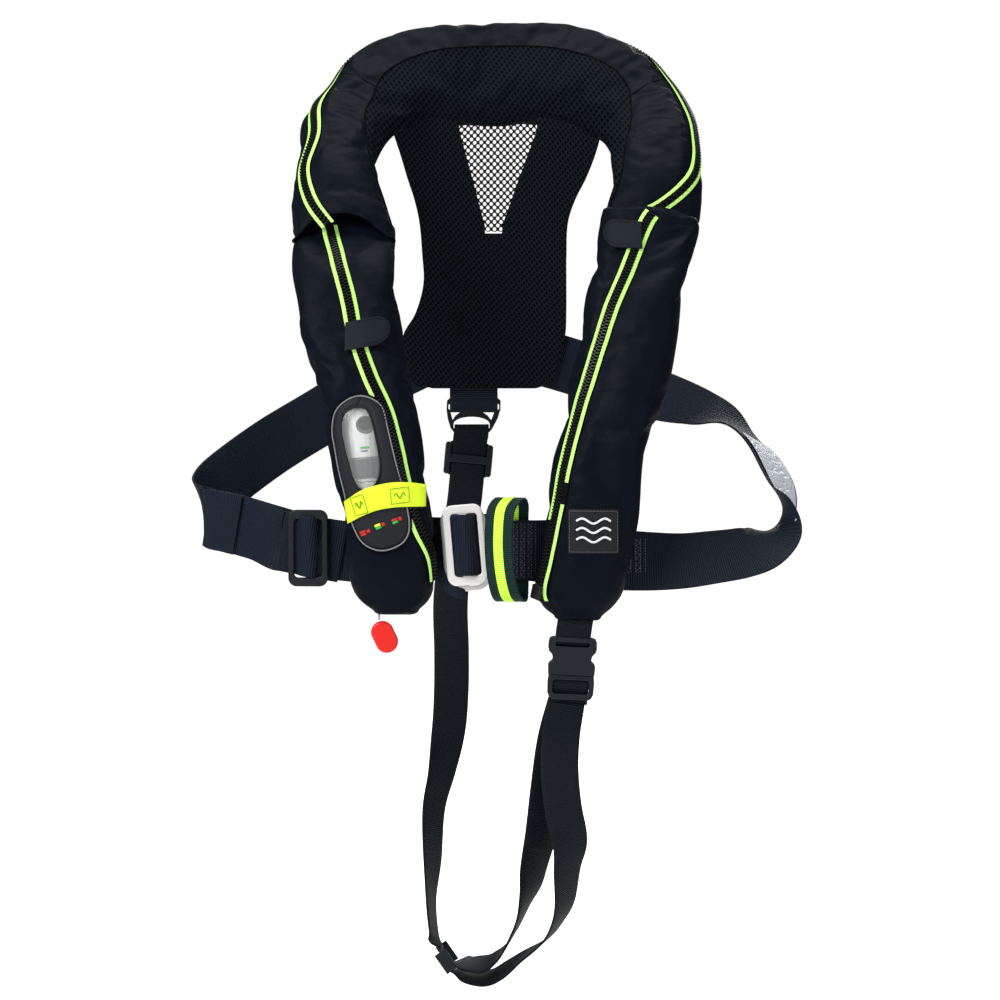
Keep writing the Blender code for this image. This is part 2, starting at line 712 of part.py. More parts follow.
def inflator():
    """The firing head, its gas cylinder, sensor cap, lever and pin."""
    base, top = Vector((-106.6, -205.7, -304)), Vector((-112.3, -201, -242))
    stand = along(base, top)
    groove = BODY_RADIUS - 1.4
    body = turned("inflator_body", [
        (0, 61), (13, 61), (BODY_RADIUS, 58), (BODY_RADIUS, 20), (groove, 19), (groove, 3),
        (BODY_RADIUS, 2), (BODY_RADIUS, 0), (0, 0),
    ], stand, WHITE)
    turned("sensor_cap", [
        (0, -0.5), (BODY_RADIUS, -0.5), (BODY_RADIUS, -13), (12, -17), (6, -17), (5, -15), (0, -15),
    ], stand, WHITE)
    turned("warning_ring", [
        (groove + 0.3, 18.4), (BODY_RADIUS + 1.4, 18.4), (BODY_RADIUS + 1.4, 3.6),
        (groove + 0.3, 3.6), (groove + 0.3, 18.4),
    ], stand, GREY)
    neck = Vector((-112.6, -201, -240))
    way = Vector((-0.107, 0.385, 0.918)).normalized()
    reach = along(neck, neck + way)
    boss = turned("boss", [(0, 9), (8, 9), (8, -8), (0, -8)], reach, WHITE)
    bore = turned("bore", [(0, 20), (5.4, 20), (5.4, -1), (0, -1)], reach, WHITE)
    boolean(body, boss, "UNION")
    boolean(body, bore, "DIFFERENCE")
    far = CYLINDER_LENGTH
    turned("gas_cylinder", [
        (0, far), (6, far - 1), (10, far - 4), (CYLINDER_RADIUS, far - 10), (CYLINDER_RADIUS, 24),
        (10, 17), (5, 12), (5, 0), (0, 0),
    ], reach, PAINT)
    lever()


def lever():
    pivot = (-84.5, -206, -316)
    arm_outline = [(3.5 * math.cos(a), 3.5 * math.sin(a))
                   for a in np.linspace(math.pi, 2 * math.pi, 9)]
    arm_outline += [(2.4, 17.5), (0, 19.5), (-2.4, 17.5)]
    hole = [(1.6 * math.cos(a), 1.6 * math.sin(a)) for a in np.linspace(0, 2 * math.pi, 17)[:-1]]
    made = outline_curve("firing_lever", [arm_outline, hole], 2.6, RED)
    made.matrix_world = frame_at(*pivot)
    pin = turned("lever_pin", [(0, 4), (1.3, 4), (1.3, -4), (0, -4)], Matrix(), STEEL, steps=16)
    pin.matrix_world = frame_at(*pivot)


def pull_cord():
    """The cord and the toggle below the left arm."""
    lanyard = tube_curve("lanyard", spline(LANYARD, 4), LANYARD_RADIUS, CORD)
    toggle = mesh_object("pull_toggle", outline_curve(
        "toggle_outline", [rounded_box(17, 27, 8.4, steps=6)], 7, RED), RED)
    toggle.matrix_world = frame_at(-92.5, -200, -430.6, tilt=-25)
    bevel(toggle, 1.2, 2)
    carry(lanyard, toggle)


def mouth_tube():
    """The tube for topping up by mouth, its cap, and the whistle, inside the right arm."""
    points = spline([(119, -163, -136), (112, -179, -170), (105, -193, -205), (99, -202, -240)], 3)
    tube_curve("oral_tube", points, 5.0, PLASTIC)
    way = Vector(points[0]) - Vector(points[1])
    place = along(points[0], Vector(points[0]) + way)
    turned("oral_tube_cap", [
        (0, 5), (6.5, 5), (7, 4), (7, -6), (5.4, -6), (5.4, 0.4), (0, 0.4),
    ], place, PLASTIC, steps=16)
    whistle = block("whistle", (20, 45, 11), (0, 0, 0), YELLOW)
    slot = block("whistle_slot", (12, 5, 6), (0, 10, 5), YELLOW)
    place = frame_at(82, -215.8, -312, tilt=8)
    whistle.matrix_world = place
    slot.matrix_world = place
    boolean(whistle, slot, "DIFFERENCE")
    bevel(whistle, 2.5, 2)


def tube_curve(name, points, radius, look):
    curve = bpy.data.curves.new(name, "CURVE")
    curve.dimensions = "3D"
    curve.bevel_depth = radius * MM
    curve.bevel_resolution = 2
    curve.use_fill_caps = True
    line = curve.splines.new("POLY")
    line.points.add(len(points) - 1)
    for point, place in zip(line.points, points):
        point.co = (*(Vector(place) * MM), 1)
    return add(name, curve, look)


# ---------------------------------------------------------------- yoke

# Height at the middle, left edge, right edge, depth at the middle.
YOKE_ROWS = (
    (3, -88, 88, 5),
    (-16, -84, 84, 10),
    (-40, -79, 77, 17),
    (-76, -70, 63, 25),
    (-108, -67, 61, 29),
    (-134, -66, 61, 32),
    (-160, -73, 61, 34),
    (-180, -84, 60, 35),
    (-205, -82, 54, 37),
    (-226, -78, 48, 38),
)
NET_TOP = (-34.0, 34.6)
NET_BOTTOM = (-11.3, 3.8)
NET_DEPTH = -83.0


def yoke_point(row, x):
    z, left, right, depth = row
    drop = 17 * (x / 88) ** 2 * max(0.0, 1 + (z - 3) / 60)
    return Vector((x, depth - 8 * (x / 85) ** 2, z - drop))


def yoke():
    """The mesh panel on the back, open in a V under the nape, and the net that fills it."""
    rows = spline(YOKE_ROWS, 3)
    left_side, net, right_side = [], [], []
    for row in rows:
        share = min(max((3 - row[0]) / (3 - NET_DEPTH), 0), 1)
        edges = [top + (bottom - top) * share for top, bottom in zip(NET_TOP, NET_BOTTOM)]
        left_side.append([yoke_point(row, x) for x in np.linspace(row[1], edges[0], 5)])
        right_side.append([yoke_point(row, x) for x in np.linspace(edges[1], row[2], 5)])
        if row[0] > NET_DEPTH:
            inset = 2 * GAP
            net.append([yoke_point(row, x)
                        for x in np.linspace(edges[0] + inset, edges[1] - inset, 4)])
    first_joined = len(net)
    mesh = bmesh.new()
    sheet = []
    for a, b in zip(left_side, right_side):
        sheet.append([mesh.verts.new(p * MM) for p in a + b])
    for r in range(len(sheet) - 1):
        for c in range(9):
            if c == 4 and r < first_joined:
                continue
            upper, lower = sheet[r], sheet[r + 1]
            mesh.faces.new((upper[c], upper[c + 1], lower[c + 1], lower[c]))
    finish_sheet("yoke_panel", mesh, MESH, YOKE, 0.0)
    grid_object("yoke_net", net, MESH, NET)


# ---------------------------------------------------------------- belt

def belt():
    webbing("left_belt", LEFT_BELT, BELT_WIDTH, WEB)
    webbing("right_belt", RIGHT_BELT, BELT_WIDTH, WEB)
    tape = [beside(RIGHT_BELT, 7.3 + i / 3, -1.9) for i in range(14)]
    webbing("reflective_tape", tape, 42, SILVER, thickness=0.5, steps=1)
    waist_slider()
    buckle()
    loop = webbing("soft_loop", LOOP_BAND, LOOP_WIDTH, LOOP_WEB, closed=True, steps=4)
    set_origin(loop, LOOP_PIVOT)
    keeper = spline([(-50.5, -191.5, -368), (-49, -199.5, -377), (-45, -202, -386),
                     (-38, -201, -393), (-33, -198.5, -398)], 3)
    tube_curve("belt_keeper", keeper, 2.2, WEB)


def beside(stations, place, lift):
    """A station raised off the face of a strap, at a place counted in the strap's stations."""
    rows = [(*centre, *Vector(across).normalized()) for centre, across in stations]
    row = between(rows, place)
    across = Vector(row[3:]).normalized()
    ahead = Vector(between(rows, place + 0.02)[:3] - between(rows, place - 0.02)[:3])
    return Vector(row[:3]) - ahead.cross(across).normalized() * lift, across


def plate_frame(name, width, height, radius, windows, thickness, look, place, edge=0.6):
    """A flat frame with windows, each (width, height, radius, centre)."""
    loops = [rounded_box(width, height, radius)] + [rounded_box(*w) for w in windows]
    frame = mesh_object(name, outline_curve(name + "_outline", loops, thickness, look), look)
    frame.matrix_world = place
    bevel(frame, edge)
    return frame


def waist_slider():
    place = frame_at(-156.4, -177, -358, turn=-6)
    frame = plate_frame("waist_slider", 33, 66, 7, [(23.5, 57, 4, (0, 0))], 3, PLASTIC, place)
    bar = block("slider_bar", (3.6, 58, 2.6), (0, 0, 0), PLASTIC)
    bar.matrix_world = place
    frame.modifiers.remove(frame.modifiers["Bevel"])
    boolean(frame, bar, "UNION")
    bevel(frame, 0.5)
    fold = [(9.15, 5.5), (8.7, 5.5), (8.2, 5.5), (7.8, 5.2), (7.66, 3.9), (7.8, 2.6), (8.2, 2.4),
            (8.7, 2.3), (9.3, 2.3), (9.7, 2.4)]
    roll = [(-183, -168.6), (-177, -170.2), (-171, -171.6), (-166.5, -173.4), (-161.5, -178),
            (-156, -180), (-151, -178.6), (-147, -175), (-142, -173.8), (-134, -173.4),
            (-128, -173.2)]
    stations = [beside(LEFT_BELT, place, -lift) for place, lift in fold]
    stations += [((x, y, -357.8 - (x + 156) * 0.19), (0, 0, 1)) for x, y in roll]
    webbing("belt_tail", stations, BELT_WIDTH, WEB, steps=2)


def buckle():
    """The steel ring, the plate that hooks over it, and the webbing that holds each."""
    ring = frame_at(-25, -196, -356, tilt=-3)
    frame = plate_frame("buckle_ring", RING_WIDTH, RING_HEIGHT, 11,
                        [(4.2, 56, 1.5, (-13.9, 0)), (24, 65, 6, (3.2, 0))], 3, STEEL, ring)
    frame.modifiers["Bevel"].segments = 2
    plate = frame_at(-26.6, -206, -355, tilt=-5)
    windows = [(9.6, 55, 3, (-6.9, 0)), (9.6, 55, 3, (6.9, 0))]
    frame = plate_frame("buckle_plate", PLATE_WIDTH, PLATE_HEIGHT, 8, windows,
                        PLATE_THICKNESS, STEEL, plate, edge=0.8)
    frame.modifiers["Bevel"].segments = 2
    lean = math.tan(math.radians(5))
    roll = [(-3, -192.6), (-11, -193.6), (-17.5, -197.5), (-18.2, -204), (-21, -209.5),
            (-26.6, -211.8), (-32.5, -209.8), (-35.6, -205.6), (-32.5, -201.6), (-27.5, -200.2)]
    stations = [((x, y, -355), (-lean, 0, 1)) for x, y in roll]
    webbing("plate_webbing", stations, BELT_WIDTH, WEB, steps=3)
    roll = [(-61, -177.4), (-52, -184.5), (-44, -190.2), (-37, -192.6), (-33.4, -193.2),
            (-32.2, -195.9), (-33.4, -198.7), (-36.5, -199), (-38.7, -198.2), (-38.9, -196.2)]
    lean = math.tan(math.radians(3))
    stations = [((x, y, -358), (-lean, 0, 1)) for x, y in roll]
    webbing("ring_webbing", stations, BELT_WIDTH, WEB, steps=3)


# ---------------------------------------------------------------- rear and crotch straps

def rear_straps():
    stub = [(43.2, -206), (43.2, -222), (43.3, -235), (44, -241.6), (47, -244.4), (50, -241.6),
            (50.7, -235), (50.8, -222), (50.8, -206)]
    webbing("rear_stub", [((-21.5, y, z), (1, 0, 0)) for y, z in stub], 43, WEB)
    reducer()
    webbing("rear_strap", REAR_STRAP, STRAP_WIDTH, WEB)
    slider("rear_slider", (-26.4, 44.2, -290.5), 5.2, 48, 32, 2)
    adjuster()


def reducer():
    """The plastic ring that joins the wide webbing to the narrow strap."""
    outline = [(-24, 13), (-24.5, 5), (-23.5, -3), (-20.8, -12), (-18, -15.5), (14, -15.5),
               (16.8, -12), (21.5, -3), (24, 5), (24, 13), (21, 15.5), (-21, 15.5)]
    slot = rounded_box(45.5, 5.2, 1.5, (0, 7.2))
    dome = [(16.2 * math.cos(a) - 2, 6.5 * math.sin(a) - 8.2) for a in np.linspace(0, math.pi, 13)]
    low_slot = [(-18.2, -11.8), (14.2, -11.8), *dome]
    left = [(-20.8, 2.2), (-12.5, 2.2), (-16.5, -0.6), (-19, -4.6)]
    right = [(8.5, 2.2), (18.2, 2.2), (15.6, -4.6), (12.5, -0.6)]
    frame = mesh_object("rear_reducer", outline_curve(
        "reducer_outline", [outline, slot, low_slot, left, right], 3, PLASTIC), PLASTIC)
    frame.matrix_world = frame_at(-21.5, 47, -250.7)
    bevel(frame, 0.4)


def slider(name, centre, tilt, width, height, bar_radius):
    """A three-bar slider: two bars behind the strap and one in front."""
    place = frame_at(*centre, tilt=tilt)
    side = (width - STRAP_WIDTH - 2.4) / 2
    frame = block(name, (side, height, 7), (width / 2 - side / 2, 0, 0), PLASTIC)
    frame.matrix_world = place
    pieces = [
        ((side, height, 7), (side / 2 - width / 2, 0, 0)),
        ((width - 2, 3.6, 2), (0, height / 2 - 1.8, -2.4)),
        ((width - 2, 3.6, 2), (0, 1.8 - height / 2, -2.4)),
        ((width - 2, 7, 2), (0, 0, 2.4)),
    ]
    for i, (size, middle) in enumerate(pieces):
        piece = block(f"{name}_bar_{i}", size, middle, PLASTIC)
        piece.matrix_world = place
        boolean(frame, piece, "UNION")
    bevel(frame, 0.25 * bar_radius)


def adjuster():
    """The adjuster at the lowest point, where the rear strap meets the two front strands."""
    place = frame_at(-44, -78, -717, tilt=-35)
    frame = block("crotch_adjuster", (11, 19, 3.5), (0, 0, 20), PLASTIC)
    frame.matrix_world = place
    pieces = [
        ((11, 19, 3.5), (0, 0, -20)),
        ((3, 3, 42), (0, 7.5, 0)),
        ((3, 3, 42), (0, 0, 0)),
        ((3, 3, 42), (0, -7.5, 0)),
    ]
    for i, (size, middle) in enumerate(pieces):
        piece = block(f"adjuster_bar_{i}", size, middle, PLASTIC)
        piece.matrix_world = place
        boolean(frame, piece, "UNION")
    bevel(frame, 0.5)


# ---------------------------------------------------------------- side-release buckle

def strap_buckle():
    """The side-release buckle under the right arm. Its frame starts at the mouth of the socket."""
    place = frame_at(60.3, -197, -462, tilt=3)
    stub = [(66, -198.4, -402), (64.6, -198.3, -412), (63, -196, -422), (62, -193.3, -430),
            (61.7, -193.2, -435), (61.6, -197, -438), (61.7, -200.8, -435), (62, -200.7, -430),
            (63, -200.9, -422), (64.6, -201.2, -412), (66, -201.2, -402)]
    lean = math.tan(math.radians(3))
    webbing("strap_stub", [(centre, (1, 0, -lean)) for centre in stub], 29, WEB)
    socket = block("buckle_socket", (37.5, 22.5, 11), (0, 11.25, 0), PLASTIC)
    frame = block("socket_frame", (37.5, 10, 4.4), (0, 25.5, 0), PLASTIC)
    socket.matrix_world = place
    frame.matrix_world = place
    boolean(socket, frame, "UNION")
    cuts = [
        ((31, 21, 6.8), (0, 8.5, 0)),
        ((8, 10, 12), (18, 14, 0)),
        ((8, 10, 12), (-18, 14, 0)),
        ((32, 4.4, 12), (0, 24.8, 0)),
    ]
    for i, (size, middle) in enumerate(cuts):
        cut = block(f"socket_cut_{i}", size, middle, PLASTIC)
        cut.matrix_world = place
        boolean(socket, cut, "DIFFERENCE")
    bevel(socket, 0.6)
    plug = block("buckle_plug", (37, 20, 9), (0, -10.4, 0), PLASTIC)
    plug.matrix_world = place
    window_cut = block("plug_window", (32, 13, 12), (0, -9.4, 0), PLASTIC)
    tongue = block("plug_tongue", (6, 18, 5), (0, 8, 0), PLASTIC)
    rung = block("plug_rung", (34, 3, 3), (0, -9.4, -1.5), PLASTIC)
    window_cut.matrix_world = place
    tongue.matrix_world = place
    rung.matrix_world = place
    boolean(plug, window_cut, "DIFFERENCE")
    boolean(plug, rung, "UNION")
    boolean(plug, tongue, "UNION")
    bevel(plug, 0.5)
    for name, side in (("left_latch", -1), ("right_latch", 1)):
        outline = [(7.5, 0.2), (11, 0.2), (13, 8.5), (15, 10), (15, 13.5), (12, 17.6), (9.6, 17.6),
                   (9.6, 9)]
        latch = mesh_object(name, outline_curve(
            name + "_outline", [[(x * side, y) for x, y in outline]], 5, PLASTIC), PLASTIC)
        latch.matrix_world = place
        bevel(latch, 0.4)
        root = place @ (Vector((9.25 * side, 0.2, 0)) * MM)
        set_origin(latch, root / MM)
        carry(latch, plug)
    carry(webbing("inner_strand", INNER_STRAND, STRAP_WIDTH, WEB), plug)
    carry(webbing("outer_strand", OUTER_STRAND, STRAP_WIDTH, WEB), plug)


def zip_slider(pad):
    """The slider at the lower end of the right arm's zip."""
    t = pad.place_of(-392)
    angle = pad.zip_angle(t)
    spot = pad.lifted(t, angle, TAPE + 3.9)
    above = pad.lifted(pad.place_of(-372), pad.zip_angle(pad.place_of(-372)), TAPE + 3.9)
    out = pad.outward(t, angle)
    up = (above - spot).normalized()
    side = up.cross(out).normalized()
    out = side.cross(up)
    place = Matrix((side, up, out)).transposed().to_4x4()
    place.translation = spot * MM
    body = block("zip_slider", (9, 12, 3.4), (0, 0, 0), PLASTIC)
    body.matrix_world = place
    bevel(body, 0.8, 2)


def main():
    neck, left, right = Pad(COLLAR), Pad(LEFT_ARM), Pad(RIGHT_ARM)
    collar(neck)
    left_panel = arm("left", left, -383)
    arm("right", right, -400)
    window(left, left_panel)
    front_trim(left, right)
    bladder("left_bladder", left, left.place_of(-104), left.place_of(-345), 0.5, 0.12, 17.5,
            BLADDER)
    bladder("right_bladder", right, right.place_of(-104), right.place_of(-370), 0.62, 0.34, 8,
            BLADDER)
    inflator()
    pull_cord()
    mouth_tube()
    yoke()
    belt()
    rear_straps()
    strap_buckle()
    zip_slider(right)


main()
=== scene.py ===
"""The looks of an inflatable life jacket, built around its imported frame.

Tables of places hold millimetres in the frame's axes, and MM turns them into metres.
Left and right are as seen from the front, which faces -Y.
"""

import math

import bmesh
import bpy
import numpy as np
from mathutils import Matrix, Vector, noise


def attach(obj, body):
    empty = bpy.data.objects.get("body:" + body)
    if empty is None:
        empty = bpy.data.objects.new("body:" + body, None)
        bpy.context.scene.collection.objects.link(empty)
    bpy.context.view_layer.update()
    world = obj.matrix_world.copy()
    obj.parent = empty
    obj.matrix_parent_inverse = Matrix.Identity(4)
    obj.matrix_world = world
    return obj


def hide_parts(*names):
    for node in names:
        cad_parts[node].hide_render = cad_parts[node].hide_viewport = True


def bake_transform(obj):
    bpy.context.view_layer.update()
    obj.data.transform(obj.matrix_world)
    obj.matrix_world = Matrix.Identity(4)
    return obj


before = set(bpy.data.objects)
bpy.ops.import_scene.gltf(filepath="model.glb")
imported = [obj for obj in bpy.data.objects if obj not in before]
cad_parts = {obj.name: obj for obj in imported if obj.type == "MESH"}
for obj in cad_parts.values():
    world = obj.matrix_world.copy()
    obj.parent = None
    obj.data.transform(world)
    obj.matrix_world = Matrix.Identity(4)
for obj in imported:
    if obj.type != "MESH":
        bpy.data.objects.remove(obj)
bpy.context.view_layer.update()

MM = 0.001
JACKET = "jacket"

# ---------------------------------------------------------------- camera

AIM = Vector((0.002, -0.10, -0.322))
CAMERA_DISTANCE = 2.6
CAMERA_RISE = math.radians(2.0)
LENS, SENSOR = 110.1, 36


def camera():
    data = bpy.data.cameras.new("Camera")
    data.sensor_width = SENSOR
    data.lens = LENS
    obj = bpy.data.objects.new("Camera", data)
    bpy.context.scene.collection.objects.link(obj)
    back = Vector((0, -math.cos(CAMERA_RISE), math.sin(CAMERA_RISE)))
    obj.location = AIM + back * CAMERA_DISTANCE
    obj.rotation_euler = (-back).to_track_quat("-Z", "Y").to_euler()
    bpy.context.scene.camera = obj


camera()

# ---------------------------------------------------------------- places

# Each station of a pad: inner edge, outer edge, thickness, front normal, zip angle, lining angle.
# Angles run round the section in degrees: 0 inner edge, 90 front, 180 outer edge, 270 back.
FRONT = (0.0, -1.0, 0.0)
COLLAR = (
    ((-87, -132, -96), (-172, -134, -97), 46, (0, -0.98, 0.20), 102, 4),
    ((-94, -117, -74), (-172, -118, -74), 46, (0, -0.92, 0.40), 126, 14),
    ((-101, -100, -52), (-171, -100, -52), 47, (0, -0.80, 0.60), 136, 26),
    ((-104, -82, -33), (-168, -76, -26), 47, (-0.10, -0.65, 0.75), 125, 42),
    ((-98, -56, -14), (-166, -52, 0), 46, (-0.20, -0.50, 0.85), 139, 68),
    ((-84, -26, -3), (-147, -20, 31), 44, (-0.25, -0.55, 0.80), 171, 88),
    ((-62, -6, 4), (-122, 8, 68), 41, (-0.15, -0.75, 0.60), 190, 100),
    ((-34, 0, 6), (-68, 26, 90), 38, (-0.05, -0.90, 0.40), 200, 108),
    ((0, 2, 6), (2, 31, 95), 36, (0, -0.95, 0.30), 204, 110),
    ((36, 0, 6), (68, 28, 92), 38, (0.05, -0.90, 0.40), 200, 108),
    ((66, -8, 1), (122, 10, 70), 41, (0.15, -0.75, 0.60), 184, 104),
    ((88, -30, -10), (152, -14, 36), 44, (0.25, -0.55, 0.80), 166, 90),
    ((97, -60, -22), (169, -50, 2), 46, (0.20, -0.50, 0.85), 154, 70),
    ((99, -85, -38), (172, -78, -25), 47, (0.10, -0.65, 0.75), 154, 48),
    ((97, -105, -60), (173, -100, -55), 46, (0, -0.85, 0.50), 138, 34),
    ((90, -116, -84), (170, -116, -84), 40, (0, -0.98, 0.20), 88, 14),
)


def level_stations(*rows):
    """Stations with both edges at one depth and height: inner x, outer x, y, z, thickness, zip angle."""
    return [
        ((inner, y, z), (outer, y, z), thick, FRONT, zipped, 0)
        for inner, outer, y, z, thick, zipped in rows
    ]


LEFT_ARM = (
    ((-87, -116, -92), (-172, -118, -92), 36, FRONT, 102, 0),
    *level_stations(
        (-84, -170, -150, -129, 49, 92), (-81, -165, -165, -158, 52, 89),
        (-77, -161, -176, -185, 54, 87), (-72, -150, -186, -218, 56, 82),
        (-67, -142, -194, -250, 58, 70), (-62, -135, -200, -280, 58, 66),
        (-60, -130, -203, -306, 58, 60), (-53, -122, -204, -340, 54, 50),
        (-51, -123, -204, -364, 48, 27), (-52, -119, -202, -386, 40, 15),
        (-54, -114, -200, -397, 32, 12), (-59, -107, -200, -404, 27, 12),
        (-64, -101, -200, -408, 21, 12),
    ),
)
RIGHT_ARM = (
    ((88, -128, -77), (168, -130, -86), 45, FRONT, 91, 0),
    ((86, -134, -96), (167, -136, -99), 46, FRONT, 84, 0),
    *level_stations(
        (80, 161, -150, -129, 48, 75), (73, 155, -165, -158, 50, 66), (69, 149, -177, -190, 50, 55),
        (61, 142, -187, -224, 50, 49), (55, 132, -195, -257, 50, 42), (47, 121, -201, -290, 50, 42),
        (41, 114, -204, -330, 48, 38), (36, 108, -204, -366, 44, 32), (31, 102, -202, -392, 36, 30),
        (36, 95, -200, -404, 25, 30), (46, 85, -200, -413, 14, 30),
    ),
)


def stations(*rows):
    """Stations of a strap: the centre of the webbing, and the direction across it."""
    return [(row[:3], row[3:]) for row in rows]


LEFT_BELT = stations(
    (-60, 37, -197, 0.1, 0, 1), (-92, 32, -213, 0, 0, 1), (-118, 8, -228, -0.4, 0.1, 0.9),
    (-154, -18, -251, -0.4, 0.1, 0.9), (-195, -55, -277, -0.35, 0.1, 0.9),
    (-230, -92, -304, -0.3, 0.1, 0.9), (-246, -114, -320, -0.2, 0, 1), (-247, -128, -330, -0.15, 0, 1),
    (-238, -141, -336, -0.1, 0, 1), (-218, -152, -340, -0.05, 0, 1), (-186, -164, -349, 0, 0, 1),
    (-156, -170, -357, 0, 0, 1), (-124, -171, -362, 0, 0, 1), (-84, -171, -364, 0, 0, 1),
    (-64, -174, -364, 0, 0, 1),
)
RIGHT_BELT = stations(
    (34, 41, -198, 0, 0, 1), (60, 38, -205.5, 0, 0, 1), (92, 18, -216, -0.05, 0.2, 0.98),
    (121, 0, -227, 0, 0.4, 0.9), (149, -15, -236, -0.05, 0.62, 0.75), (176, -32, -245, -0.1, 0.8, 0.55),
    (198, -50, -255, -0.1, 0.92, 0.35), (215, -66, -268, 0.15, 0.98, 0.05),
    (228, -81, -282, 0.40, 0.90, -0.05), (236, -98, -298, 0.45, 0.88, 0),
    (240, -116, -316, 0.30, 0.92, 0.20), (240, -129, -332, 0.10, 0.88, 0.45),
    (234, -141, -348, 0, 0.80, 0.60), (220, -150, -359, -0.05, 0.70, 0.70),
    (202, -157, -364, 0, 0.62, 0.78), (180, -163, -367, 0, 0.55, 0.83), (152, -168, -370, 0, 0.45, 0.89),
    (120, -172, -370, 0, 0.25, 0.97), (84, -174, -368, 0, 0, 1), (52, -178, -364, 0, 0, 1),
    (30, -187, -361, 0, 0, 1), (12, -190.5, -359, 0, 0, 1), (1, -191, -358, 0, 0, 1),
)
REAR_STRAP = stations(
    (-24, 50.6, -271, 1, 0, 0), (-23.5, 50.4, -264, 1, 0, 0), (-23.5, 47, -259.6, 1, 0, 0),
    (-23.5, 43.6, -264, 1, 0, 0), (-24.9, 44.2, -275, 1, 0, -0.09), (-26.5, 44.2, -292, 1, 0, -0.09),
    (-28.3, 44.2, -312, 1, 0, -0.09), (-30.6, 43.8, -332, 1, 0, -0.09), (-36.5, 38.5, -364, 1, 0, -0.05),
    (-42, 25, -415, 1, 0, 0), (-41, 8, -459, 1, 0.05, 0), (-41, -5, -493, 0.98, 0.15, 0),
    (-43, -13, -525, 0.95, 0.3, 0), (-49, -24, -562, 0.75, 0.66, 0), (-56, -33, -595, 0.6, 0.8, 0),
    (-57, -45, -638, 0.45, 0.9, 0.1), (-58, -55, -671, 0.22, 0.97, 0.1),
    (-55, -64, -700, 0.15, 0.98, 0.1), (-51, -70, -710, 0.1, 0.98, 0.15),
)
INNER_STRAND = stations(
    (56.5, -193.4, -484.5, 1, 0, -0.05), (48, -189, -516, 1, 0.1, 0), (42, -180, -555, 0.95, 0.3, 0),
    (37, -166, -594, 0.9, 0.45, 0), (31, -151, -626, 0.75, 0.65, 0), (28, -141, -648, 0.55, 0.83, 0),
    (22, -131, -668, 0.25, 0.95, 0), (13, -120, -690, 0.15, 0.98, 0), (3, -109, -708, 0.1, 0.98, 0.1),
    (-9, -98, -718, 0, 0.96, 0.22), (-24, -88, -720, 0, 0.97, 0.2),
    (-32.6, -83, -718.5, 0.05, 0.98, 0.15),
)
OUTER_STRAND = stations(
    (56.3, -195.6, -484.5, 1, 0, -0.05), (52, -202, -512, 1, 0, 0), (51, -200, -540, 1, 0, 0),
    (54, -194, -572, 0.98, 0, 0), (60, -184, -603, 0.9, 0.4, 0), (58, -174, -627, 0.7, 0.7, 0),
    (56, -161, -658, 0.5, 0.85, 0), (49, -149, -678, 0.3, 0.95, 0), (38, -137, -694, 0.2, 0.97, 0),
    (22, -124, -708, 0.1, 0.97, 0.1), (6, -110, -722, 0, 0.95, 0.2), (-8, -100, -730, 0, 0.95, 0.2),
    (-24, -90, -731, 0, 0.98, 0.15), (-34.5, -84, -726, 0.05, 0.98, 0.15),
)
LOOP_BAND = stations(
    (13, -195, -352, 1, 0, 0), (13, -195.5, -334, 1, 0, 0), (13, -200, -322, 1, -0.1, 0),
    (10, -211, -317, 0.95, -0.3, 0), (3, -223, -325, 0.9, -0.4, 0), (1, -228, -342, 0.9, -0.43, 0),
    (1, -229, -360, 0.9, -0.43, 0), (3, -226, -380, 0.9, -0.4, 0), (7, -217, -396, 0.95, -0.3, 0),
    (12, -206, -400, 1, -0.15, 0), (13, -197.5, -390, 1, 0, 0), (13, -195, -371, 1, 0, 0),
)
# The cord from the firing lever, through the lower end of the left arm, to the toggle.
LANYARD = (
    (-81.4, -203, -298), (-81, -203, -308), (-80.5, -203, -318), (-84, -202.5, -335),
    (-89, -201.5, -360), (-94, -200.5, -385), (-96.4, -200, -404), (-97, -200, -416.8),
)

# The thickness of webbing, and the widths of its three kinds.
WEBBING = 1.8
BELT_WIDTH, STRAP_WIDTH, LOOP_WIDTH = 50.0, 31.0, 25.0
# The shape of a pad's section: 1 is an ellipse, and less is squarer.
ROUNDNESS = 0.83


# ---------------------------------------------------------------- curves and sections

def rows_at(points, places):
    """Rows on a Catmull-Rom curve through points, at places counted in points."""
    points = np.asarray(points, float)
    places = np.asarray(places, float)
    last = len(points) - 1
    i = np.clip(places.astype(int), 0, last - 1)
    f = (places - i)[:, None]
    p1, p2 = points[i], points[i + 1]
    p0 = np.where((i > 0)[:, None], points[np.maximum(i - 1, 0)], 2 * p1 - p2)
    p3 = np.where((i + 2 <= last)[:, None], points[np.minimum(i + 2, last)], 2 * p2 - p1)
    return 0.5 * (
        2 * p1
        + (p2 - p0) * f
        + (2 * p0 - 5 * p1 + 4 * p2 - p3) * f**2
        + (3 * p1 - 3 * p2 + p3 - p0) * f**3
    )


def unit(v):
    return v / np.linalg.norm(v, axis=-1, keepdims=True)


def dot(a, b):
    return (a * b).sum(axis=-1, keepdims=True)


def lengths_along(path):
    """The distance along a path at each of its points."""
    steps = np.linalg.norm(np.diff(path, axis=0), axis=1)
    return np.concatenate([[0], np.cumsum(steps)])


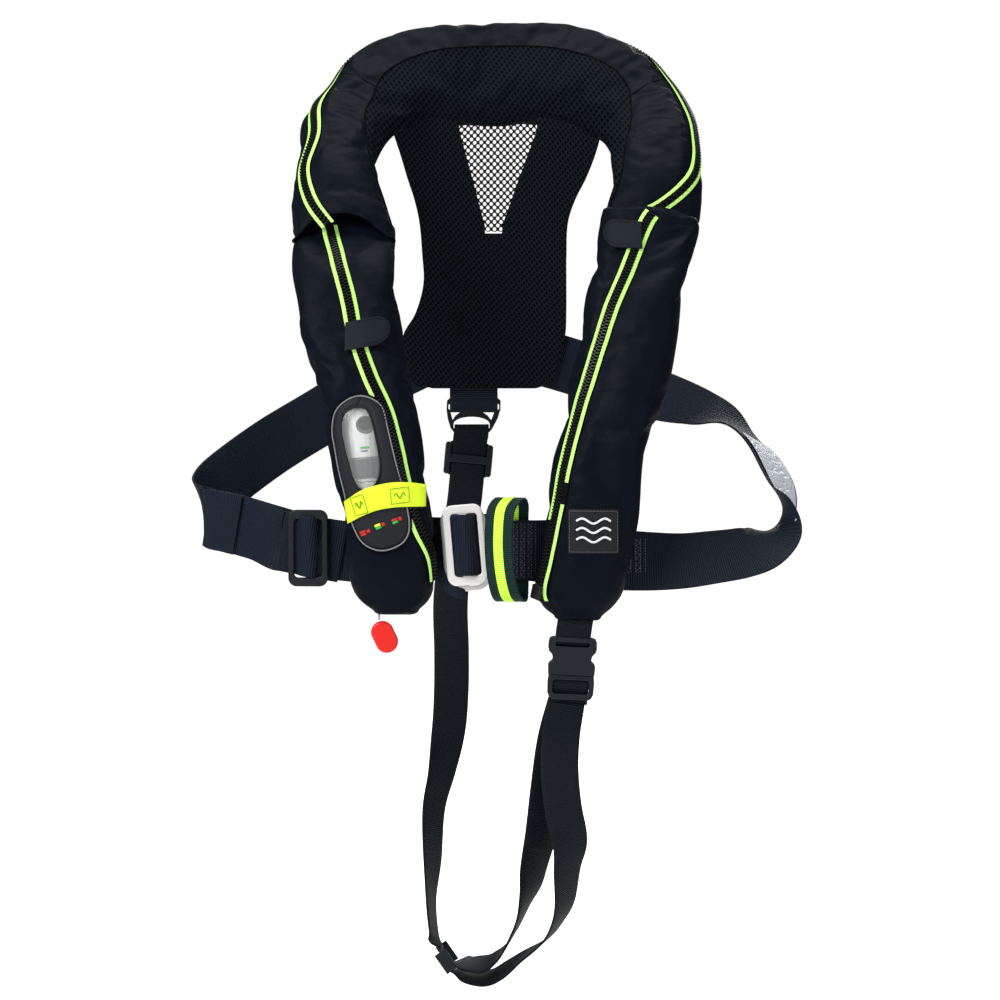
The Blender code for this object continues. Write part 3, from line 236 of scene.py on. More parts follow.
def even(points, step, closed=False):
    """Rows at even distances on the curve through points. The first three numbers are the place."""
    points = np.asarray(points, float)
    if closed:
        points = np.concatenate([points[-2:], points, points[:3]])
    places = np.linspace(0, len(points) - 1, 40 * (len(points) - 1) + 1)
    if closed:
        places = places[(places >= 2) & (places <= len(points) - 3)]
    rows = rows_at(points, places)
    far = lengths_along(rows[:, :3])
    count = max(int(round(far[-1] / step)), 2)
    wanted = np.linspace(0, far[-1], count + 1)
    return np.stack([np.interp(wanted, far, column) for column in rows.T], axis=1)


class Pad:
    """A padded tube through stations, such as the collar or one arm of the jacket."""

    def __init__(self, table):
        self.rows = np.array([
            (*inner, *outer, thick, *normal, zipped, lined)
            for inner, outer, thick, normal, zipped, lined in table
        ], float)
        self.last = len(table) - 1
        self.fine = np.linspace(0, 1, 600)
        self.far = lengths_along(self.sections(self.fine)[0])

    def sections(self, t):
        row = rows_at(self.rows, np.asarray(t) * self.last)
        across = (row[:, 3:6] - row[:, 0:3]) / 2
        normal = row[:, 7:10]
        normal = normal - across * dot(normal, across) / dot(across, across)
        return (row[:, 0:3] + row[:, 3:6]) / 2, across, unit(normal) * row[:, 6:7] / 2

    def zip_angle(self, t):
        return rows_at(self.rows, np.asarray(t) * self.last)[:, 10]

    def lining_angle(self, t):
        return rows_at(self.rows, np.asarray(t) * self.last)[:, 11]

    def evenly(self, near, far, count):
        """Places at even distances between two distances along the pad."""
        return np.interp(np.linspace(near, far, count), self.far, self.fine)

    def points(self, t, degrees, wide=1.0, deep=1.0):
        """Points on the sections at t, one row of angles for each."""
        centre, across, normal = (part[:, None] for part in self.sections(t))
        angle = np.radians(degrees)
        cos, sin = np.cos(angle), np.sin(angle)
        flat = -np.sign(cos) * np.abs(cos) ** ROUNDNESS * wide
        out = np.sign(sin) * np.abs(sin) ** ROUNDNESS * deep
        return centre + across * flat[..., None] + normal * out[..., None]

    def outward(self, t, degrees):
        """Unit normals of the surface, one for each t and angle in two equal lists."""
        step = 0.004
        angle = np.asarray(degrees, float)[:, None]
        along = self.points(np.clip(t + step, 0, 1), angle) - self.points(np.clip(t - step, 0, 1), angle)
        around = self.points(t, angle + 1.5) - self.points(t, angle - 1.5)
        normal = unit(np.cross(around, along))[:, 0]
        centre = self.sections(t)[0]
        side = np.sign(dot(normal, self.points(t, angle)[:, 0] - centre))
        return normal * side

    def lifted(self, t, degrees, lift):
        t, degrees = np.asarray(t, float), np.asarray(degrees, float)
        return self.points(t, degrees[:, None])[:, 0] + self.outward(t, degrees) * lift

    def place_of(self, z):
        """How far along an arm the heights z are, from 0 to 1."""
        heights = self.sections(self.fine)[0][:, 2]
        return np.interp(-np.asarray(z, float), -heights, self.fine)

    def on_front(self, x, z, lift):
        """Points on an arm's front at a given x and z, raised off it."""
        x, z = np.asarray(x, float), np.asarray(z, float)
        t = self.place_of(z)
        centre, across, _ = self.sections(t)
        flat = np.clip((x - centre[:, 0]) / across[:, 0], -0.999, 0.999)
        cos = -np.sign(flat) * np.abs(flat) ** (1 / ROUNDNESS)
        return self.lifted(t, np.degrees(np.arccos(cos)), lift)


# ---------------------------------------------------------------- meshes

def grid_mesh(name, points, uv=None, closed=False):
    """A mesh of quads through a grid of points in millimetres, with UVs in metres."""
    rows, columns = points.shape[:2]
    index = np.arange(rows * columns).reshape(rows, columns)
    if closed:
        index = np.concatenate([index, index[:, :1]], axis=1)
    quads = np.stack([index[:-1, :-1], index[:-1, 1:], index[1:, 1:], index[1:, :-1]], axis=-1)
    data = bpy.data.meshes.new(name)
    data.from_pydata((points.reshape(-1, 3) * MM).tolist(), [], quads.reshape(-1, 4).tolist())
    if uv is not None:
        layer = data.uv_layers.new(name="Metres")
        corners = np.empty(len(data.loops), np.int32)
        data.loops.foreach_get("vertex_index", corners)
        layer.data.foreach_set("uv", uv.reshape(-1, 2)[corners].astype(np.float32).ravel())
    data.shade_smooth()
    return data


def grid_uv(points):
    """Distances along and across a grid of points, in metres."""
    along = np.linalg.norm(np.diff(points, axis=0), axis=2).mean(axis=1)
    across = np.linalg.norm(np.diff(points, axis=1), axis=2)
    u = np.concatenate([[0], np.cumsum(along)])[:, None] * np.ones(points.shape[1])
    v = np.concatenate([np.zeros((len(points), 1)), np.cumsum(across, axis=1)], axis=1)
    v = v - v[:, -1:] / 2
    return np.stack([u, v], axis=-1) * MM


def add(name, data, look, body=JACKET, replaces=(), slot=None, place=None):
    """An object with its look, the body it rides on and the CAD nodes that it stands for. slot is not used.
    """
    obj = bpy.data.objects.new(name, data)
    bpy.context.scene.collection.objects.link(obj)
    obj.data.materials.append(look)
    if place is not None:
        obj.matrix_world = place
        bpy.context.view_layer.update()
    if body:
        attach(obj, body)
    if replaces:
        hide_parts(*replaces)
    return obj


def uv_face(mesh, layer, uv, corners, vertex):
    """A face between places (row, column) of a grid, with the UVs of these places."""
    face = mesh.faces.new([vertex(*place) for place in corners])
    for loop, place in zip(face.loops, corners):
        loop[layer].uv = uv[place]


def finish_mesh(mesh, name, smooth=True):
    """The mesh made from a bmesh, which is freed."""
    data = bpy.data.meshes.new(name)
    mesh.to_mesh(data)
    mesh.free()
    if smooth:
        data.shade_smooth()
    return data


def facing_out(data, weld=False):
    """Turns the faces of a tube outward, and closes its two ends. weld joins its first and last columns."""
    mesh = bmesh.new()
    mesh.from_mesh(data)
    if weld:
        bmesh.ops.remove_doubles(mesh, verts=mesh.verts, dist=1e-6)
    bmesh.ops.holes_fill(mesh, edges=[e for e in mesh.edges if e.is_boundary], sides=200)
    bmesh.ops.recalc_face_normals(mesh, faces=mesh.faces)
    mesh.to_mesh(data)
    mesh.free()


def polylines(curve, lines, closed=False):
    """Draws lines of places in millimetres on a curve."""
    for line in lines:
        spline = curve.splines.new("POLY")
        spline.points.add(len(line) - 1)
        for point, place in zip(spline.points, line):
            point.co = (*(c * MM for c in place), 1)
        spline.use_cyclic_u = closed


def wires(name, lines, radius, look, body=JACKET, replaces=(), slot=None, closed=False, resolution=4):
    """Round wires along lines, all in one piece. The finest ones, which are stitches, have open ends."""
    curve = bpy.data.curves.new(name, "CURVE")
    curve.dimensions = "3D"
    curve.bevel_depth = radius * MM
    curve.bevel_resolution = resolution
    curve.use_fill_caps = resolution > 1 and not closed
    polylines(curve, lines, closed)
    return add(name, curve, look, body, replaces, slot)


def tube(name, points, radius, look, *args, **marks):
    return wires(name, [points], radius, look, *args, **marks)


def thread(name, lines, look, radius, body=JACKET, slot="webbing"):
    """Sewing thread: short stitches, each a thin rod between two points."""
    return wires(name, lines, radius, look, body, slot=slot, resolution=1)


def solid(obj, thickness, offset):
    """Gives a sheet its thickness, on one side of it or (at an offset of 0) on both."""
    change = obj.modifiers.new("Thickness", "SOLIDIFY")
    change.thickness = thickness * MM
    change.offset = offset


def subdivided(obj):
    change = obj.modifiers.new("Smooth", "SUBSURF")
    change.levels = change.render_levels = 1


def bevelled(obj, width, angle=35):
    """Rounds the edges that are sharper than an angle in degrees."""
    change = obj.modifiers.new("Edges", "BEVEL")
    change.width = width * MM
    change.segments = 3
    change.limit_method = "ANGLE"
    change.angle_limit = math.radians(angle)


# ---------------------------------------------------------------- looks

class Look:
    """A Principled material, and short ways to add nodes to it."""

    def __init__(self, name, colour, roughness, metallic=0.0, **inputs):
        self.material = bpy.data.materials.new(name)
        self.material.use_nodes = True
        self.tree = self.material.node_tree
        self.shader = self.tree.nodes["Principled BSDF"]
        self.shader.inputs["Base Color"].default_value = (*colour, 1)
        self.shader.inputs["Roughness"].default_value = roughness
        self.shader.inputs["Metallic"].default_value = metallic
        self.shader.inputs["Specular IOR Level"].default_value = 0.25
        for key, value in inputs.items():
            self.shader.inputs[key.replace("_", " ")].default_value = value
        self.colour = colour

    def node(self, kind, *sources, **settings):
        """A node with its inputs taken in order from sockets, from numbers, or left when None."""
        made = self.tree.nodes.new(kind)
        for key, value in settings.items():
            setattr(made, key, value)
        for socket, source in zip(made.inputs, sources):
            if isinstance(source, bpy.types.NodeSocket):
                self.tree.links.new(source, socket)
            elif source is not None:
                socket.default_value = source
        return made

    def maths(self, operation, *sources):
        return self.node("ShaderNodeMath", *sources, operation=operation).outputs[0]

    def place(self, kind="Object"):
        return self.node("ShaderNodeTexCoord").outputs[kind]

    def along(self):
        """The distance along a strap in metres, which its UVs hold."""
        return self.node("ShaderNodeSeparateXYZ", self.place("UV")).outputs[0]

    def wave(self, value, pitch):
        """A sine with the given pitch in millimetres along a distance in metres."""
        return self.maths("SINE", self.maths("MULTIPLY", value, 2 * math.pi / (pitch * MM)))

    def noise(self, size, detail=3.0):
        """Noise with bumps of about the given size in millimetres."""
        return self.node("ShaderNodeTexNoise", self.place(), None, 1 / (size * MM), detail).outputs[0]

    def bump(self, height, depth):
        """Adds relief of the given depth in millimetres on top of what is there."""
        made = self.node("ShaderNodeBump")
        made.inputs["Strength"].default_value = 1.0
        made.inputs["Distance"].default_value = depth * MM
        self.tree.links.new(height, made.inputs["Height"])
        socket = self.shader.inputs["Normal"]
        if socket.links:
            self.tree.links.new(socket.links[0].from_socket, made.inputs["Normal"])
        self.tree.links.new(made.outputs[0], socket)

    def tint(self, share, colour):
        """Mixes the base colour towards another by a share."""
        made = self.node("ShaderNodeMix", data_type="RGBA")
        socket = self.shader.inputs["Base Color"]
        if socket.links:
            self.tree.links.new(socket.links[0].from_socket, made.inputs[6])
        else:
            made.inputs[6].default_value = (*self.colour, 1)
        made.inputs[7].default_value = (*colour, 1)
        self.tree.links.new(share, made.inputs[0])
        self.tree.links.new(made.outputs[2], socket)


def nylon(name, colour=(0.0032, 0.0050, 0.0098)):
    look = Look(name, colour, 0.50, Specular_IOR_Level=0.045)
    look.bump(look.noise(34, 3), 2.2)
    look.bump(look.noise(11, 2), 0.4)
    look.bump(look.noise(0.9, 1), 0.05)
    return look.material


def holed(name, pitch_x, pitch_z, slant, colour, hole_shade):
    """Spacer mesh: staggered holes over a knitted face, with painted shade in the holes."""
    look = Look(name, colour, 0.75, Specular_IOR_Level=0.04)
    spot = look.node("ShaderNodeSeparateXYZ", look.place())
    across, up = spot.outputs[0], spot.outputs[2]
    leaning = look.maths("ADD", up, look.maths("MULTIPLY", across, slant))
    waves = look.maths("MULTIPLY", look.wave(across, pitch_x), look.wave(leaning, pitch_z))
    inside = look.node("ShaderNodeMapRange", waves, 0.10, 0.35).outputs[0]
    look.bump(look.maths("SUBTRACT", 1.0, inside), 0.7)
    look.bump(look.noise(0.8, 1), 0.08)
    # Painted shade: the holes are tinted towards a near-black colour.
    look.tint(inside, hole_shade)
    return look.material


def ribbed(name, colour, pitch=1.9, depth=0.2):
    """Webbing with ribs across it, and a painted highlight on the ribs' crests."""
    look = Look(name, colour, 0.50, Specular_IOR_Level=0.12)
    ribs = look.wave(look.along(), pitch)
    look.bump(ribs, depth)
    look.bump(look.noise(14, 2), 0.3)
    # Painted highlight: the colour is lightened on the ribs' crests, following their relief.
    share = look.node("ShaderNodeMapRange", ribs, -0.2, 0.9).outputs[0]
    look.tint(look.maths("MULTIPLY", share, 0.5), tuple(2.2 * c for c in colour))
    return look.material


def neon_with_painted_glow(name, colour):
    # Painted glow: emission in the fabric's own colour makes it brighter than the lamps light it.
    look = Look(name, colour, 0.55, Emission_Strength=0.22)
    look.shader.inputs["Emission Color"].default_value = (*colour, 1)
    look.bump(look.noise(0.9, 1), 0.06)
    return look.material


def moulded(name, colour, roughness=0.42, grain=0.04):
    look = Look(name, colour, roughness)
    look.bump(look.noise(0.7, 2), grain)
    return look.material


def brushed(name):
    """Steel with a fine grain along it."""
    look = Look(name, (0.87, 0.86, 0.845), 0.42, 0.4)
    stretch = look.node("ShaderNodeMapping", look.place())
    stretch.inputs["Scale"].default_value = (0.06, 1, 1)
    look.bump(look.node("ShaderNodeTexNoise", stretch.outputs[0], None, 3500).outputs[0], 0.02)
    return look.material


def creased(name):
    """Silver reflective tape with creases that run across it at a slant."""
    look = Look(name, (0.66, 0.70, 0.76), 0.45, 0.1)
    cells = look.node("ShaderNodeTexVoronoi", look.place("UV"), None, 90, feature="DISTANCE_TO_EDGE")
    look.bump(look.node("ShaderNodeMapRange", cells.outputs[0], 0.0, 0.12).outputs[0], 0.8)
    return look.material


NYLON = nylon("Cover nylon")
TAB_NYLON = nylon("Tab nylon", (0.0125, 0.0155, 0.0215))
# The last colour of each spacer mesh is the painted shade in its holes.
LINING = holed("Lining mesh", 4.7, 6.6, 0.25, (0.0066, 0.0096, 0.0140), (0.0006, 0.0010, 0.0014))
YOKE_MESH = holed("Yoke mesh", 4.5, 5.8, 0.3, (0.0090, 0.0118, 0.0165), (0.0008, 0.0010, 0.0014))
NET = Look("Net thread", (0.006, 0.007, 0.009), 0.6, Specular_IOR_Level=0.1).material
WEB = ribbed("Belt webbing", (0.0068, 0.0108, 0.0195))
STRAP_WEB = ribbed("Crotch webbing", (0.0036, 0.0058, 0.0092))
LOOP_WEB = ribbed("Loop webbing", (0.0035, 0.0190, 0.0165), 1.7)
LOOP_NEON = ribbed("Loop stripe", (0.55, 0.93, 0.07), 1.7, 0.15)
ZIP_BLACK = Look("Zip tape", (0.0045, 0.0045, 0.0050), 0.8, Specular_IOR_Level=0.05).material
# The zip stripe and the yellow band glow with painted light.
ZIP_NEON = neon_with_painted_glow("Zip stripe", (0.50, 0.90, 0.20))
TEETH = moulded("Zip teeth", (0.009, 0.010, 0.012), 0.34)
YELLOW = neon_with_painted_glow("Yellow band", (0.72, 0.95, 0.03))
INK = Look("Ink", (0.10, 0.14, 0.01), 0.6).material
SILVER = creased("Reflective tape")
PIPING = Look("Grey piping", (0.20, 0.21, 0.23), 0.5).material
PANEL = moulded("Window panel", (0.010, 0.011, 0.014), 0.6, 0.1)
CLEAR = Look("Clear window", (0.9, 0.93, 0.93), 0.06, Alpha=0.16, Coat_Weight=0.6).material
RUBBER = moulded("Patch rubber", (0.0085, 0.0100, 0.0135), 0.6, 0.08)
MARK = Look("Patch mark", (0.85, 0.86, 0.88), 0.5).material
BLADDER = moulded("Coated bladder", (0.85, 0.70, 0.05), 0.5)
WHITE = moulded("White plastic", (0.80, 0.82, 0.80), 0.3, 0.01)
STEEL = brushed("Brushed steel")
PAINT = Look("Cylinder paint", (0.45, 0.46, 0.48), 0.35, 0.3).material
PLASTIC = moulded("Charcoal plastic", (0.0085, 0.0120, 0.0165), 0.42)
GREY = moulded("Grey plastic", (0.085, 0.088, 0.092))
RED = moulded("Red plastic", (0.78, 0.025, 0.018), 0.28, 0.01)
GREEN = Look("Green mark", (0.05, 0.50, 0.06), 0.5).material
RED_INK = Look("Red mark", (0.60, 0.03, 0.02), 0.5).material
CORD = Look("Clear cord", (0.42, 0.45, 0.47), 0.25, Alpha=0.95).material
THREAD = Look("Thread", (0.13, 0.14, 0.16), 0.6).material
BLACK_THREAD = Look("Black thread", (0.0020, 0.0022, 0.0030), 0.7, Specular_IOR_Level=0.03).material


# ---------------------------------------------------------------- padded covers

# The size of a skin's cells, how far from an end its hem is drawn in, and half a zip tape's width.
CELL = 3.6
HEM = 34.0
ZIP_HALF = 7.4
SIM_FRAMES = 20


class Sock:
    """A pad's closed skin as a grid of points, one row to a section, and the panels it is cut into.

    spans lists the panels round the skin: first angle, last angle, columns, name, and whether the
    simulation holds it. start and end are the shapes of the caps: see cap().
    """

    def __init__(self, name, pad, spans, start, end, kept=()):
        self.name, self.pad = name, pad
        length = pad.far[-1]
        self.t = t = pad.evenly(0, length, int(length / CELL))
        angles, self.panel, pinned = [], [], []
        for low, high, columns, panel, pin in spans:
            share = np.arange(columns) / columns
            angles.append(low(t)[:, None] + (high(t) - low(t))[:, None] * share)
            self.panel += [panel] * columns
            pinned += [pin or i == 0 for i in range(columns)]
        self.angles = np.concatenate(angles, axis=1)
        body = pad.points(t, self.angles)
        far = np.interp(t, pad.fine, pad.far)
        for first, shape, near in ((t[0], start, far), (t[-1], end, length - far)):
            share = np.clip(1 - near / HEM, 0, 1)[:, None, None] ** 2
            body = body - self.bow(first, body, shape[2]) * share
        head = self.cap(t[0], self.angles[0], start)[::-1]
        tail = self.cap(t[-1], self.angles[-1], end)
        self.points = np.concatenate([head, body, tail])
        self.heads = len(head)
        self.pins = np.zeros(self.points.shape[:2], bool)
        self.pins[:, pinned] = True
        self.pins[:2] = self.pins[-2:] = True
        for keep in kept:
            self.pins |= keep(self)

    def ahead(self, t):
        """The way out of the end at t."""
        centre = self.pad.sections([t])[0][0]
        step = 0.01 if t < 0.5 else -0.01
        return unit(centre - self.pad.sections([t + step])[0][0])

    def bow(self, t, points, arch):
        """How far points near the end at t are drawn in, more in the middle than at the edges."""
        centre, across, _ = (part[0] for part in self.pad.sections([t]))
        flat = np.clip((points - centre) @ unit(across) / np.linalg.norm(across), -1, 1)
        return self.ahead(t) * (arch * (1 - 2 * flat**2))[..., None]

    def cap(self, t, angles, shape):
        """Rows that round off an end. shape is (reach, width left at the tip, arch)."""
        reach, tip, arch = shape
        ahead = self.ahead(t)
        rows = []
        for turn in np.linspace(0, 90, 7)[1:]:
            s, c = math.sin(math.radians(turn)), math.cos(math.radians(turn))
            deep = max(c, 0.03)
            wide = tip + (1 - tip) * c
            ring = self.pad.points([t], angles[None], wide, deep)[0]
            rows.append(ring + ahead * (reach * s) - self.bow(t, ring, arch))
        return np.array(rows)

    def uv(self):
        return grid_uv(np.concatenate([self.points, self.points[:, :1]], axis=1))


def puff(socks, pressure=4.0, shrink=-0.035, cap=7.0):
    """Blows the skins up with a cloth simulation, held at their seams, zips and sewn-on pieces.

    cap is the farthest that a point may move, in millimetres.
    """
    scene = bpy.context.scene
    objects = []
    for sock in socks:
        data = grid_mesh(sock.name, sock.points, closed=True)
        facing_out(data)
        obj = bpy.data.objects.new(sock.name, data)
        scene.collection.objects.link(obj)
        group = obj.vertex_groups.new(name="Held")
        group.add(np.flatnonzero(sock.pins.ravel()).tolist(), 1.0, "REPLACE")
        cloth = obj.modifiers.new("Cloth", "CLOTH")
        settings = cloth.settings
        settings.vertex_group_mass = "Held"
        settings.quality = 6
        settings.mass = 0.15
        settings.tension_stiffness = settings.compression_stiffness = 12
        settings.shear_stiffness = 6
        settings.bending_stiffness = 0.4
        settings.shrink_min = shrink
        settings.use_pressure = True
        settings.uniform_pressure_force = pressure
        settings.effector_weights.gravity = 0
        cloth.collision_settings.use_collision = False
        cloth.point_cache.frame_start = 1
        cloth.point_cache.frame_end = SIM_FRAMES
        objects.append(obj)
    for step in range(1, SIM_FRAMES + 1):
        scene.frame_set(step)
    graph = bpy.context.evaluated_depsgraph_get()
    for sock, obj in zip(socks, objects):
        mesh = obj.evaluated_get(graph).to_mesh()
        moved = np.empty(len(mesh.vertices) * 3)
        mesh.vertices.foreach_get("co", moved)
        moved = moved.reshape(sock.points.shape) / MM - sock.points
        far = np.linalg.norm(moved, axis=2, keepdims=True)
        sock.points = sock.points + moved * np.minimum(1, cap / np.maximum(far, 1e-6))
        bpy.data.objects.remove(obj, do_unlink=True)
    scene.frame_set(1)


def panel_object(sock, panel, name, look, node, without=None):
    """One panel of a skin, cut along its seams."""
    rows, columns = sock.points.shape[:2]
    uv = sock.uv()
    mesh = bmesh.new()
    layer = mesh.loops.layers.uv.new("Metres")
    made = {}

    def vertex(r, c):
        key = r, c % columns
        if key not in made:
            made[key] = mesh.verts.new(sock.points[key] * MM)
        return made[key]

    for c in range(columns):
        if sock.panel[c] != panel:
            continue
        for r in range(rows - 1):
            corners = ((r, c), (r + 1, c), (r + 1, c + 1), (r, c + 1))
            middle = np.mean([sock.points[a, b % columns] for a, b in corners], axis=0)
            if without is None or not without(middle):
                uv_face(mesh, layer, uv, corners, vertex)
    obj = add(name, finish_mesh(mesh, name), look, replaces=[node])
    subdivided(obj)


def in_oval(x, z, centre, length, width, tilt, power=2.4):
    """True inside a long rounded outline in (x, z), tilted from upright."""
    turn = math.radians(tilt)
    a, b = x - centre[0], z - centre[1]
    across = (a * math.cos(turn) - b * math.sin(turn)) / (width / 2)
    up = (a * math.sin(turn) + b * math.cos(turn)) / (length / 2)
    return np.abs(across) ** power + np.abs(up) ** power < 1


# Ovals in (x, z): centre, length, width, tilt. The left arm's skin is held behind the first one,
# and is open behind the second.
PANEL_OVAL = ((-102, -297), 137, 52, -9)
WINDOW_OVAL = ((-110, -276), 72, 31, -9.5)
# The skin forward of this depth is on the front of an arm.
ARM_FRONT = -200.0
# Outlines in (x, z) of the stiff panel and of the clear window in it.
PANEL_EDGE = (
    (-110, -234), (-99, -238), (-93, -245), (-89, -261), (-85, -278), (-81, -294), (-77, -309),
    (-74, -323), (-72, -335), (-73, -346), (-80, -354), (-94, -358), (-107, -353), (-114, -342),
    (-119, -326), (-123, -309), (-127, -293), (-130, -277), (-132.5, -261), (-130, -246), (-121, -237),
)
WINDOW_EDGE = (
    (-114, -243.5), (-106.5, -245), (-102, -254), (-99, -266), (-96.5, -279), (-95, -290), (-96.5, -300),
    (-101, -307), (-107, -309), (-112.5, -306), (-116.5, -298), (-119.5, -287), (-123, -274), (-125.5, -261),
    (-124.5, -251), (-120.5, -245.5),
)
# The badge on the right arm: low and high x, low and high z.
PATCH_BOX = (57, 98, -361, -325)
# Where the collar's border is joined, as places along the collar from 0 to 1.
SHOULDER_SEAMS = (0.352, 0.728)

neck, left, right = Pad(COLLAR), Pad(LEFT_ARM), Pad(RIGHT_ARM)


def zip_side(pad, side):
    """The angle at the edge of a pad's zip tape."""
    def edge(t):
        angle = pad.zip_angle(t)
        reach = pad.points(t, (angle + 1)[:, None]) - pad.points(t, (angle - 1)[:, None])
        reach = np.linalg.norm(reach[:, 0], axis=1) / 2
        return angle + side * np.minimum(ZIP_HALF / reach, 40)
    return edge


def constant(value):
    return lambda t: np.full(len(t), float(value))


def seam_rows(sock):
    """The rows of the collar's skin where its border is joined."""
    return [sock.heads + int(np.argmin(np.abs(sock.t - place))) for place in SHOULDER_SEAMS]


def on_shoulder_seam(sock):
    """The part of the collar's skin that its border's seams hold."""
    marked = np.zeros(sock.points.shape[:2], bool)
    marked[seam_rows(sock)] = [panel == "border" for panel in sock.panel]
    return marked


collar_sock = Sock("collar_skin", neck, (
    (constant(-70), neck.lining_angle, 26, "lining", False),
    (neck.lining_angle, zip_side(neck, -1), 14, "border", False),
    (zip_side(neck, -1), zip_side(neck, 1), 4, "border", True),
    (zip_side(neck, 1), constant(290), 20, "back", False),
), (-4, 0.86, 12), (8, 0.8, 2), [on_shoulder_seam])


def behind_window_panel(sock):
    """The part of the left arm's skin that the stiff panel holds."""
    x, y, z = np.moveaxis(sock.points, -1, 0)
    return in_oval(x, z, *PANEL_OVAL) & (y < ARM_FRONT)


def behind_patch(sock, margin=3):
    """The part of the right arm's skin that the badge holds."""
    x, y, z = np.moveaxis(sock.points, -1, 0)
    low, high, bottom, top = PATCH_BOX
    beside = (x > low - margin) & (x < high + margin)
    return beside & (z > bottom - margin) & (z < top + margin) & (y < ARM_FRONT)


def arm_sock(name, pad, top, kept=()):
    return Sock(name, pad, (
        (constant(-60), zip_side(pad, -1), 24, "inner", False),
        (zip_side(pad, -1), zip_side(pad, 1), 4, "inner", True),
        (zip_side(pad, 1), constant(300), 34, "outer", False),
    ), top, (4.5, 0.55, 0), kept)


left_sock = arm_sock("left_skin", left, (12, 0.72, -5), [behind_window_panel])
right_sock = arm_sock("right_skin", right, (4, 0.9, -3), [behind_patch])
puff([collar_sock, left_sock, right_sock])


def window_hole(point):
    """True where the left arm's skin is cut away behind the clear window."""
    return point[1] < ARM_FRONT - 5 and bool(in_oval(point[0], point[2], *WINDOW_OVAL))


for sock, panel, name, look, node in (
    (collar_sock, "lining", "collar_lining_mesh", LINING, "collar_lining"),
    (collar_sock, "border", "collar_border_cloth", NYLON, "collar_border"),
    (collar_sock, "back", "collar_back_cloth", NYLON, "collar_back"),
    (left_sock, "inner", "left_inner_cloth", NYLON, "left_inner_panel"),
    (left_sock, "outer", "left_outer_cloth", NYLON, "left_outer_panel"),
    (right_sock, "inner", "right_inner_cloth", NYLON, "right_inner_panel"),
    (right_sock, "outer", "right_outer_cloth", NYLON, "right_outer_panel"),
):
    panel_object(sock, panel, name, look, node, window_hole if node == "left_outer_panel" else None)


# ---------------------------------------------------------------- zips

TOOTH_PITCH = 2.8
# Half a tooth's size across, along and out of the zip, and its place beside and above the zip's middle.
TOOTH_HALF = (2.2, 0.62, 0.8)
TOOTH_SIDE, TOOTH_RISE = 1.7, 2.2
TOOTH_CORNERS = (
    (-1, -1, -1), (1, -1, -1), (1, 1, -1), (-1, 1, -1),
    (-0.8, -0.7, 1), (0.8, -0.7, 1), (0.8, 0.7, 1), (-0.8, 0.7, 1),
)
TOOTH_FACES = ((4, 5, 6, 7), (0, 1, 5, 4), (1, 2, 6, 5), (2, 3, 7, 6), (3, 0, 4, 7), (3, 2, 1, 0))
# The tape's strips from edge to edge, as (low, high, look): 0 is black tape and 1 a bright stripe.
STRIPES = ((-7.4, -6.9, 0), (-6.9, -3.7, 1), (-3.7, 3.7, 0), (3.7, 6.9, 1), (6.9, 7.4, 0))
# The sides of a zip's tape, as signs of the way across it.
LEFT, RIGHT = 1, -1
# The step between a tape's rows, and its lift at the middle and at the edges, less what it bows.
TAPE_STEP = 1.6
TAPE_LIFT, TAPE_EDGE_LIFT, TAPE_BOW = 1.3, 0.9, 1 / 55


def zip_frame(pad, t):
    """The middle line of a pad's zip at each t, and the ways along it, across it and out of it."""
    angle = pad.zip_angle(t)
    middle = pad.points(t, angle[:, None])[:, 0]
    out = pad.outward(t, angle)
    ahead = unit(np.gradient(middle, axis=0))
    across = unit(np.cross(ahead, out))
    return middle, ahead, across, np.cross(across, ahead)


def zip_teeth(name, pad, near, far, wide):
    """Closed teeth between two distances along a pad, from both sides in turn."""
    count = int((far - near) / TOOTH_PITCH)
    t = np.interp(near + (np.arange(count) + 0.5) * TOOTH_PITCH, pad.far, pad.fine)
    vertices, faces = [], []
    for middle, ahead, across, out in zip(*zip_frame(pad, t)):
        for side in (-1, 1):
            centre = middle + across * side * TOOTH_SIDE * wide + out * TOOTH_RISE
            centre = centre + ahead * side * TOOTH_PITCH / 4
            faces += [[len(vertices) + k for k in face] for face in TOOTH_FACES]
            for x, y, z in TOOTH_CORNERS:
                spot = centre + across * x * TOOTH_HALF[0] * wide + ahead * y * TOOTH_HALF[1]
                vertices.append(tuple((spot + out * z * TOOTH_HALF[2]) * MM))
    data = bpy.data.meshes.new(name)
    data.from_pydata(vertices, [], faces)
    add(name, data, TEETH, slot="zip_tape")


def zip_line(name, pad, start, end, node, wide, tucked=()):
    """The tape with its two bright stripes, and the closed teeth along its middle.

    tucked lists (side, top, bottom): heights between which a stripe is under the fabric's edge.
    """
    near, far = np.interp([start, end], pad.fine, pad.far)
    count = int((far - near) / TAPE_STEP)
    middle, _, across, out = zip_frame(pad, pad.evenly(near, far, count))
    edges = sorted({e for stripe in STRIPES for e in stripe[:2]})
    wobble = [0.5 * noise.noise(Vector((i * 0.08, 0, len(name)))) for i in range(count)]
    wobble = np.array(wobble)[:, None]
    points = np.stack([
        middle + across * (e * wide + wobble)
        + out * ((TAPE_LIFT if abs(e) < 7 else TAPE_EDGE_LIFT) - e * e * TAPE_BOW)
        for e in edges
    ], axis=1)
    data = grid_mesh(name + "_tape", points, grid_uv(points))
    tape = add(name + "_tape", data, ZIP_BLACK, replaces=[node])
    data.materials.append(ZIP_NEON)
    per_row = [next(s for a, b, s in STRIPES if a <= low < b) for low in edges[:-1]]
    looks = np.tile(per_row, (count - 1, 1))
    middles = [(low + high) / 2 for low, high in zip(edges, edges[1:])]
    for side, top, bottom in tucked:
        rows = (middle[:-1, 2] < top) & (middle[:-1, 2] > bottom)
        looks[np.ix_(rows, [m * side > 3 for m in middles])] = 0
    data.polygons.foreach_set("material_index", looks.ravel())
    solid(tape, 0.5, 0)
    zip_teeth(name + "_teeth", pad, near, far, wide)


